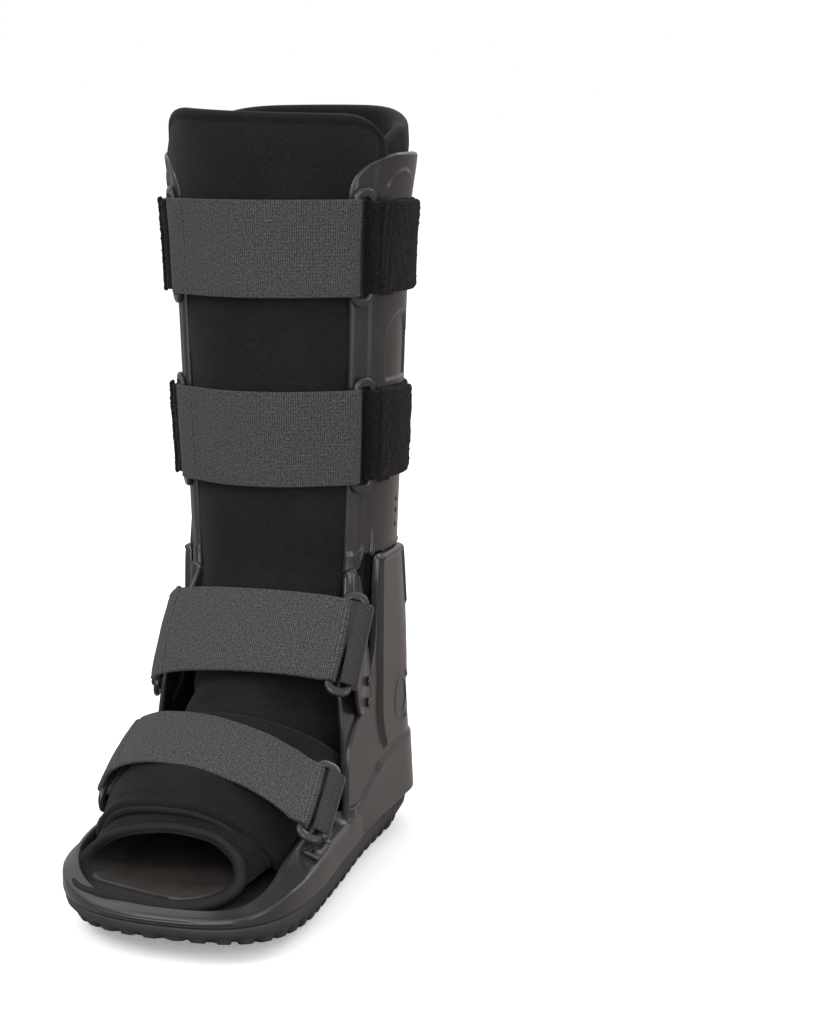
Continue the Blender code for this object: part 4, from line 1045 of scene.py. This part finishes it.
def calf_frame(height, side, ring_turn):
    middle = leg_round(ring_turn, np.array(height), over_shell + ring_bar / 2)
    ahead = leg_round(ring_turn - 2, np.array(height), over_shell) - leg_round(ring_turn + 2, np.array(height),
                                                                            over_shell)
    upward = leg_round(ring_turn, np.array(height + 0.02), over_shell) - leg_round(
        ring_turn, np.array(height - 0.02), over_shell)
    upward /= np.linalg.norm(upward)
    ahead -= upward * np.dot(ahead, upward)
    ahead /= np.linalg.norm(ahead)
    return mirror(middle, side), mirror(ahead, side), mirror(upward, side)


bar_reach = (ring_opening + ring_bar) / 2


def banded(height, turns, lifts, width, thick, name, material, slot, corner=0.0, **more):
    """Band over a list of turn angles and lifts round the leg.  u runs along it, v down its width."""
    turns, lifts = np.asarray(turns, float), np.asarray(lifts, float)
    sample = leg_round(turns, np.full(len(turns), height), lifts)
    length = np.concatenate([[0], np.cumsum(np.linalg.norm(np.diff(sample, axis=0), axis=1))])
    share = length / length[-1]

    def shape(u, v):
        turn, lift = np.interp(u, share, turns), np.interp(u, share, lifts)
        shrink = 1.0
        if corner:
            near = np.clip((u * length[-1] - (length[-1] - corner)) / corner, 0, 1)
            shrink = 1 - (1 - np.sqrt(np.maximum(1 - near ** 2, 0))) * corner * 2 / width
        z = height + (0.5 - v) * width * shrink
        return leg_round(turn, z, lift)
    band = slab(name, shape, (length[-1], width), thick, material, seat=False, slot=slot, **more)


def arc_round(bar_turn, lift, radius, first, last, count, per_degree):
    """Turn angles and lifts on a circle round a ring's bar, between two angles in degrees."""
    angle = np.radians(np.linspace(first, last, count))
    return bar_turn + radius * np.sin(angle) / per_degree, lift + radius * np.cos(angle)


def make_calf_strap(number, height, ring_turn):
    """Webbing from ring to ring over the shin, each end folded round its ring's front bar; a pile band
    round the calf; and at each side its fuzzy tail, folded round the rear bar and pressed back on it."""
    per_degree = (leg_half_width * 1.12 + over_shell) * math.pi / 180
    width = strap_width
    gap = np.degrees(bar_reach / (leg_half_width + over_shell))
    front_bar, rear_bar = ring_turn - gap, ring_turn + gap
    fold = ring_bar / 2 + 0.0011
    mid = over_shell + ring_bar / 2
    turn_a, lift_a = arc_round(front_bar, mid, fold, 200, 10, 12, per_degree)
    plain = np.linspace(front_bar - 2.5, -180 - front_bar + 2.5, 90)
    near = np.minimum(plain[0] - plain, plain - plain[-1])
    ease = step(near, 0, 16)
    lift_p = mid + fold + (over_shell + 0.0013 - mid - fold) * ease
    turns = np.concatenate([turn_a, plain, -180 - turn_a[::-1]])
    lifts = np.concatenate([lift_a, lift_p, lift_a[::-1]])

    def relief(u, v):
        length = 0.150
        away = np.minimum(u, 1 - u) * length
        seam = -0.0005 * np.exp(-((away - 0.0270) / 0.0006) ** 2) + 0.0006 * step(-away, -0.0270, -0.0262)
        edge = -0.0003 * np.exp(-((np.minimum(v, 1 - v) * width - 0.0022) / 0.0005) ** 2)
        return seam + edge + 0.0002 * ripple(u * 30, v * 4, number)
    banded(height, turns, lifts, width, 0.0021, "strap_%d_webbing" % number, WEBBING, "strap_webbing",
           pitch=0.0013, outward=(0, -1, 0), relief=relief, instead=("strap_%d_front" % number,))
    around = np.linspace(rear_bar + 3, 180 - rear_bar - 3, 150)
    banded(height, around, np.full(150, over_shell + pile_thickness / 2), width * 0.96, pile_thickness,
           "strap_%d_band" % number, PILE, "strap_pile", pitch=0.0020, outward=(0, 1, 0),
           instead=("strap_%d_back" % number,))
    seeds = np.random.default_rng(40 + number)

    def fuzz(u, v):
        rough = seeds.normal(0, 1, u.shape)
        return 0.00016 * rough + 0.0004 * ripple(u * 14, v * 14, number + 20)
    for side, name in SIDES:
        turn_f, lift_f = arc_round(rear_bar, mid, ring_bar / 2 + 0.0016, -190, -8, 10, per_degree)
        tail = np.linspace(rear_bar + 2.2, 12.0 if side > 0 else 20.0, 40)
        tail_lift = mid + 0.0030 + (over_shell + pile_thickness + 0.0018 - mid - 0.0030) * step(
            tail, rear_bar, rear_bar + 14)
        turns = np.concatenate([turn_f, tail])
        if side < 0 and number == 2:
            tail_lift = tail_lift - 0.0030 * step(tail, rear_bar, rear_bar + 6)
        lifts = np.concatenate([lift_f, tail_lift])
        if side < 0:
            turns = -180 - turns
        banded(height, turns, lifts, width * 0.95, 0.0030, "strap_%d_tail_%s" % (number, name), PILE,
               "strap_pile", corner=0.0070, pitch=0.0008, outward=(side, 0, 0), relief=fuzz)
        patch = np.linspace(rear_bar + 0.5, rear_bar + 9.5, 12)
        over = mid + 0.0052 + 0 * patch
        if side < 0:
            patch = -180 - patch
        banded(height, patch, over - 0.0008 * np.linspace(0, 1, 12), width * 0.99, 0.0022,
               "strap_%d_patch_%s" % (number, name), PILE, "strap_pile", pitch=0.0008, outward=(side, 0, 0),
               relief=fuzz)
        ring_frame("strap_%d_frame_%s" % (number, name), *calf_frame(height, side, ring_turn), width,
                   ("strap_%d_ring_%s" % (number, name),))


ANKLE_STRAP = (
    (1.070, -0.254, 0.880, 0.000, -0.312, 0.920, -1.060, -0.196, 0.863),
    (1.070, -0.400, 0.652, 0.000, -0.442, 0.694, -1.060, -0.335, 0.612),
)
FOOT_STRAP = (
    (1.120, -0.530, 0.415, -0.200, -0.500, 0.566, -1.130, -0.440, 0.450),
    (1.150, -0.700, 0.285, -0.126, -0.655, 0.455, -1.165, -0.625, 0.350),
)
def strap_edge(row, turn, squareness):
    """A strap's edge: half a squarish ellipse from the inner end over the middle to the outer end."""
    ends = np.array(row).reshape(3, 3) * (leg_half_width, toe_reach, joint_height)
    centre = (ends[0] + ends[2]) / 2
    across = np.sign(np.cos(turn)) * np.abs(np.cos(turn)) ** squareness
    over = np.maximum(np.sin(turn), 0) ** squareness
    return centre + across[..., None] * (ends[0] - ends[2]) / 2 + over[..., None] * (ends[1] - centre)


def foot_frames(edges, squareness, short):
    """Middle, directions and width of the ring at each end of a strap over the foot, as in the part."""
    turn = np.linspace(short[0], np.pi - short[1], 17)
    upper, lower = strap_edge(edges[0], turn, squareness), strap_edge(edges[1], turn, squareness)
    back = np.stack([upper, (upper + lower) / 2, lower])
    found = {}
    for (side, name), end in zip(SIDES, (0, -1)):
        inward = 1 if end == 0 else -2
        upward = upper[end] - lower[end]
        width = np.linalg.norm(upward)
        upward = upward / width
        ahead = back[1, inward] - back[1, end]
        ahead = ahead - upward * np.dot(ahead, upward)
        ahead /= np.linalg.norm(ahead)
        outward = np.cross(ahead, upward)
        outward *= np.sign(outward[0]) * side / np.linalg.norm(outward)
        middle = back[1, end] - ahead * (ring_opening / 2 + ring_bar + piece_gap) + outward * strap_thickness / 2
        found[side] = (middle, ahead, upward, outward, width)
    return found


def make_foot_strap(number, edges, squareness, short):
    """Webbing over the foot, its ends folded round the rings' front bars, with a sewn seam near each."""
    ends = foot_frames(edges, squareness, short)
    turn = np.linspace(short[0], np.pi - short[1], 120)
    upper, lower = strap_edge(edges[0], turn, squareness), strap_edge(edges[1], turn, squareness)
    v_rows = np.linspace(0, 1, 9)
    lines = []
    for v in v_rows:
        line = upper + (lower - upper) * v
        normal = normals(np.stack([upper, line, lower]))[1]
        normal *= np.sign(normal[:, 1:2] * -1 + normal[:, 2:3])
        line = line + normal * (strap_thickness / 2)
        parts = []
        for side, head in ((1, True), (-1, False)):
            middle, ahead, upward, outward, width = ends[side]
            bar = middle + ahead * bar_reach + upward * width * 0.97 * (0.5 - v)
            fold = ring_bar / 2 + 0.0011
            angle = np.radians(np.linspace(200, 15, 11))
            loop = bar - ahead * (fold * -np.sin(angle))[:, None] * -1 + outward * (fold * np.cos(angle))[:, None]
            parts.append(loop if head else loop[::-1])
        body = line[6:-6]
        lines.append(np.concatenate([parts[0], body, parts[1]]))
    grid = np.array(lines)
    length = np.concatenate([[0], np.cumsum(np.linalg.norm(np.diff(grid[4], axis=0), axis=1))])
    share = length / length[-1]
    broad = np.linalg.norm(grid[0, 60] - grid[-1, 60])

    def shape(u, v):
        at = np.clip(v, 0, 1) * (len(v_rows) - 1)
        low = np.minimum(at.astype(int), len(v_rows) - 2)
        rest = at - low
        points = np.empty(u.shape + (3,))
        for axis in range(3):
            rows = np.array([np.interp(u[:, 0], share, grid[k, :, axis]) for k in range(len(v_rows))])
            column = np.arange(u.shape[0])[:, None]
            points[..., axis] = rows[low, column] * (1 - rest) + rows[low + 1, column] * rest
        return points

    def relief(u, v):
        away = np.minimum(u, 1 - u) * length[-1]
        seam = -0.0005 * np.exp(-((away - 0.0270) / 0.0006) ** 2) + 0.0006 * step(-away, -0.0270, -0.0262)
        edge = -0.0003 * np.exp(-((np.minimum(v, 1 - v) * broad - 0.0022) / 0.0005) ** 2)
        bulge = 0.0016 * np.sin(np.pi * u) ** 0.5 * np.sin(np.pi * v)
        return seam + edge + bulge + 0.0003 * ripple(u * 16, v * 4, number)
    band = slab("strap_%d_webbing" % number, shape, (length[-1], broad), 0.0022, WEBBING, pitch=0.0013,
                outward=(0, -1, 1), relief=relief, seat=False, slot="strap_webbing",
                instead=("strap_%d_front" % number,))
    bars = {}
    fold = ring_bar / 2 + 0.0014
    angle = np.radians(np.linspace(0, 165, 9))
    along = np.concatenate([np.linspace(0.02, -0.9, 9) * bar_reach, -bar_reach - fold * np.sin(angle)])
    lift = np.concatenate([np.full(9, fold) + 0.0006 * np.sin(np.linspace(0, np.pi, 9)), fold * np.cos(angle)])
    reach = np.concatenate([[0], np.cumsum(np.hypot(np.diff(along), np.diff(lift)))])
    for side, name in SIDES:
        middle, ahead, upward, outward, width = ends[side]

        def over_ring(u, v):
            """Loop of the tab's webbing over the ring's rear bar."""
            away = np.interp(u * reach[-1], reach, along)[..., None] * ahead
            out = np.interp(u * reach[-1], reach, lift)[..., None] * outward
            return middle + away + out + upward * (width * 0.97 * (0.5 - v))[..., None]
        patch = slab("strap_%d_patch_%s" % (number, name), over_ring, (reach[-1], width * 0.97), 0.0020, LOOP,
                     pitch=0.0010, outward=outward, seat=False, slot="strap_webbing")
        ring_frame("strap_%d_frame_%s" % (number, name), middle, ahead, upward, width,
                   ("strap_%d_ring_%s" % (number, name),))
        rear = middle - ahead * (ring_opening / 2 + ring_bar + piece_gap)
        bars[side] = (rear + upward * width * 0.46, rear - upward * width * 0.46)
    return bars


def sheet_from(grid):
    """Smooth surface through a small grid of points, read at two shares, on curves both ways."""
    rows, cols = grid.shape[:2]

    def shape(u, v):
        first = [np.column_stack([np.linspace(0, 1, cols), grid[r]]) for r in range(rows)]
        lines = np.array([columns(line, v) for line in first])
        at = u * (rows - 1)
        low = np.clip(at.astype(int), 0, rows - 2)
        slopes = np.gradient(lines, axis=0)
        rest = (at - low)[..., None]
        pick = lambda table, k: np.take_along_axis(table, k[None, ..., None], axis=0)[0]
        blend = rest * rest * (3 - 2 * rest)
        return (pick(lines, low) * (1 - blend) + pick(lines, low + 1) * blend
                + pick(slopes, low) * rest * (1 - rest) ** 2 + pick(slopes, low + 1) * rest ** 2 * (rest - 1))
    return shape


def make_tab(label, name, side, grid, rivet_cells):
    """Strap tab over a grid of points, with a low rim round it, and its two rivets."""
    outward = np.array([side, 0, 0.3])
    shape = sheet_from(grid)
    tall = np.linalg.norm(grid[0] - grid[-1], axis=1).mean()
    wide = np.linalg.norm(grid[:, 0] - grid[:, -1], axis=1).mean()

    def relief(u, v):
        inside = np.minimum(np.minimum(u, 1 - u) * tall, np.minimum(v, 1 - v) * wide)
        return 0.0005 * step(-inside, -0.0026, -0.0018)
    slab("%s_tab_pad_%s" % (label, name), shape, (tall, wide), tab_thickness, PLASTIC, pitch=0.0010,
         outward=outward, relief=relief, slot="shell_plastic", instead=("%s_tab_%s" % (label, name),))
    rear_bar = grid[0, 0] + (grid[-1, 0] - grid[0, 0]) * np.linspace(0, 1, 12)[:, None]
    tube("%s_tab_sleeve_%s" % (label, name), rear_bar, 0.0054, 0.0054, PLASTIC, up=(side, 0, 0.2), sides=20,
         slot="shell_plastic")
    face = normals(grid)
    face *= np.sign(np.sum(face * outward, axis=-1, keepdims=True))
    top = grid + face * tab_thickness
    for number, (row, col) in enumerate(rivet_cells, 1):
        cell = top[row:row + 2, col:col + 2].reshape(4, 3)
        normal = np.cross(cell[3] - cell[0], cell[2] - cell[1])
        normal *= np.sign(np.dot(normal, outward)) / np.linalg.norm(normal)
        near, far = (cell[0] + cell[2]) / 2, (cell[1] + cell[3]) / 2
        middle = near + (far - near) * rivet_place
        seat = middle + normal * (np.max((cell - middle) @ normal) + seat_gap)
        make_dome("%s_rivet_head_%s_%d" % (label, name, number), seat, normal, rivet_radius, rivet_head, STEEL,
                  "%s_rivet_%s_%d" % (label, name, number))


def make_dome(name, seat, normal, radius, rise, material, instead, profile=None):
    """Round head turned from a profile of (radius share, rise share), from its foot to its middle."""
    side = np.cross(normal, (0, 0, 1.0))
    side /= np.linalg.norm(side)
    up = np.cross(side, normal)
    turn = np.linspace(0, 2 * np.pi, 49)[:-1, None]
    if profile is None:
        profile = [(0.96, 0.0), (1.0, 0.10), (1.0, 0.28)] + [
            (math.cos(a), 0.30 + 0.70 * math.sin(a)) for a in np.linspace(0.15, 1.45, 8)]
    profile = [(0.02, profile[0][1])] + list(profile) + [(0.02, profile[-1][1])]
    rings = [seat + radius * r * (np.cos(turn) * side + np.sin(turn) * up) + normal * rise * h
             for r, h in profile]
    faces = quads(len(rings), 48, wrap_cols=True)
    caps = [np.stack([k + 0 * np.arange(0, 23), k + 1 + np.arange(0, 23), k + 46 - np.arange(0, 23),
                      k + 47 - np.arange(0, 23)], -1) for k in (0, (len(rings) - 1) * 48)]
    caps[1] = caps[1][:, ::-1]
    return add_piece(name, np.array(rings), np.concatenate([faces] + caps), material, slot="shell_plastic",
                     instead=(instead,) if instead else ())


tab_thickness, ankle_tab_reach, foot_tab_taper, foot_tab_lap = 0.0022, 0.0210, -0.0030, 0.0105
rivet_place, disc_thickness = 0.68, 0.0016


def ankle_tab(side, name, bar):
    """Tab from the ankle strap's ring back to the shell's wall: narrow above, broad and riveted below."""
    share = np.linspace(0, 1, 5)[:, None]
    front = bar[0] + (bar[1] - bar[0]) * share
    rear_y = bar[0][1] + np.array([0.28, 0.66, 0.93, 1.0, 1.0])[:, None] * ankle_tab_reach
    rear_z = np.array([0.800, 0.730, 0.650, 0.580, 0.515])[:, None] * joint_height
    face = wall_point((rear_y + wall_front) / (heel_reach + wall_front), rear_z, -seat_gap)[:, 0]
    rear = mirror(face, side)
    lap = rear + (front - rear) * (0.45, 0.45, 0.15)
    lap[:, 0] = rear[:, 0] + (front[:, 0] - rear[:, 0]) * 0.12
    make_tab("ankle", name, side, np.stack([front, lap, rear], axis=1), ((2, 1), (3, 1)))


def rim_face(y, share, side):
    """A point on the sloped rim beside the foot: share 0 at its outer edge, 1 at its inner edge."""
    band, edge = rim_band(), sole_plan()
    lip = rim_height(edge[:, 1])
    low = np.minimum(sole_height + edge_wall, lip - 0.0022)
    outer = np.column_stack([sole_plan(band * 0.25 + 0.0003), low + (lip - low) * 0.45])
    inner = np.column_stack([sole_plan(band), lip])
    picked = slice(0, OUTLINE_ROWS + 1) if side > 0 else slice(OUTLINE_ROWS, None)
    ends = []
    for ring in (outer[picked], inner[picked]):
        order = np.argsort(ring[:, 1])
        ends.append(np.array([np.interp(y, ring[order, 1], ring[order, 0]), y,
                              np.interp(y, ring[order, 1], ring[order, 2])]))
    return ends[0] + (ends[1] - ends[0]) * share


def foot_tab(side, name, bar):
    """Tab from the forefoot strap's ring down to the sloped rim, riveted at its foot."""
    rows = []
    for k in range(4):
        share = k / 3
        top = bar[0] + (bar[1] - bar[0]) * share
        y = top[1] + (0.5 - share) * 2 * foot_tab_taper
        slope = rim_face(y, 0.0, side) - rim_face(y, 1.0, side)
        ahead = rim_face(y - 0.002, 0.5, side) - rim_face(y + 0.002, 0.5, side)
        normal = np.cross(slope, ahead)
        normal *= np.sign(normal[2]) / np.linalg.norm(normal)
        low = rim_face(y, -0.10, side) + normal * 2 * seat_gap
        mid = low + slope / np.linalg.norm(slope) * -foot_tab_lap
        rows.append([top, top * 0.5 + mid * 0.5, mid, low])
    make_tab("forefoot", name, side, np.array(rows), ((0, 2), (2, 2)))


def make_disc(side, name):
    """Plain round disc with a raised rim, lying on the wall beside the heel."""
    y = disc_place * heel_reach
    share = (y + wall_front) / (heel_reach + wall_front)
    here = wall_point(share, np.array(disc_height), -seat_gap)
    above = wall_point(share, np.array(disc_height + 0.004), -seat_gap)
    behind = wall_point(share + 0.03, np.array(disc_height), -seat_gap)
    normal = np.cross(behind - here, above - here)
    normal *= np.sign(normal[0]) / np.linalg.norm(normal)
    seat, normal = mirror(here, side), mirror(normal, side)
    make_dome("shell_disc_cap_%s" % name, seat, normal, disc_radius, disc_thickness, PLASTIC,
              "shell_disc_%s" % name,
              profile=[(0.98, 0.0), (1.0, 0.25), (1.0, 0.75), (0.985, 0.93), (0.955, 1.0), (0.90, 1.0),
                       (0.865, 0.92), (0.84, 0.66), (0.81, 0.58), (0.5, 0.60), (0.25, 0.62)])


for side, name in SIDES:
    make_wing(side, name)
    make_upright(side, name)
    make_disc(side, name)
make_calf_strap(1, top_strap_height, -34.5)
make_calf_strap(2, calf_strap_height, -32.5)
ankle_bars = make_foot_strap(3, ANKLE_STRAP, 0.90, (0.42, 0.05))
foot_bars = make_foot_strap(4, FOOT_STRAP, 1.00, (0.28, 0.08))
for side, name in SIDES:
    ankle_tab(side, name, ankle_bars[side])
    foot_tab(side, name, foot_bars[side])


# ---- Floor and closing lines ----

floor_mesh = bpy.data.meshes.new("studio_floor")
floor_mesh.from_pydata([(-90, -90, 0), (90, -90, 0), (90, 90, 0), (-90, 90, 0)], [], [(0, 1, 2, 3)])
floor_mesh.materials.append(FLOOR)
studio_floor = bpy.data.objects.new("studio_floor", floor_mesh)
bpy.context.collection.objects.link(studio_floor)
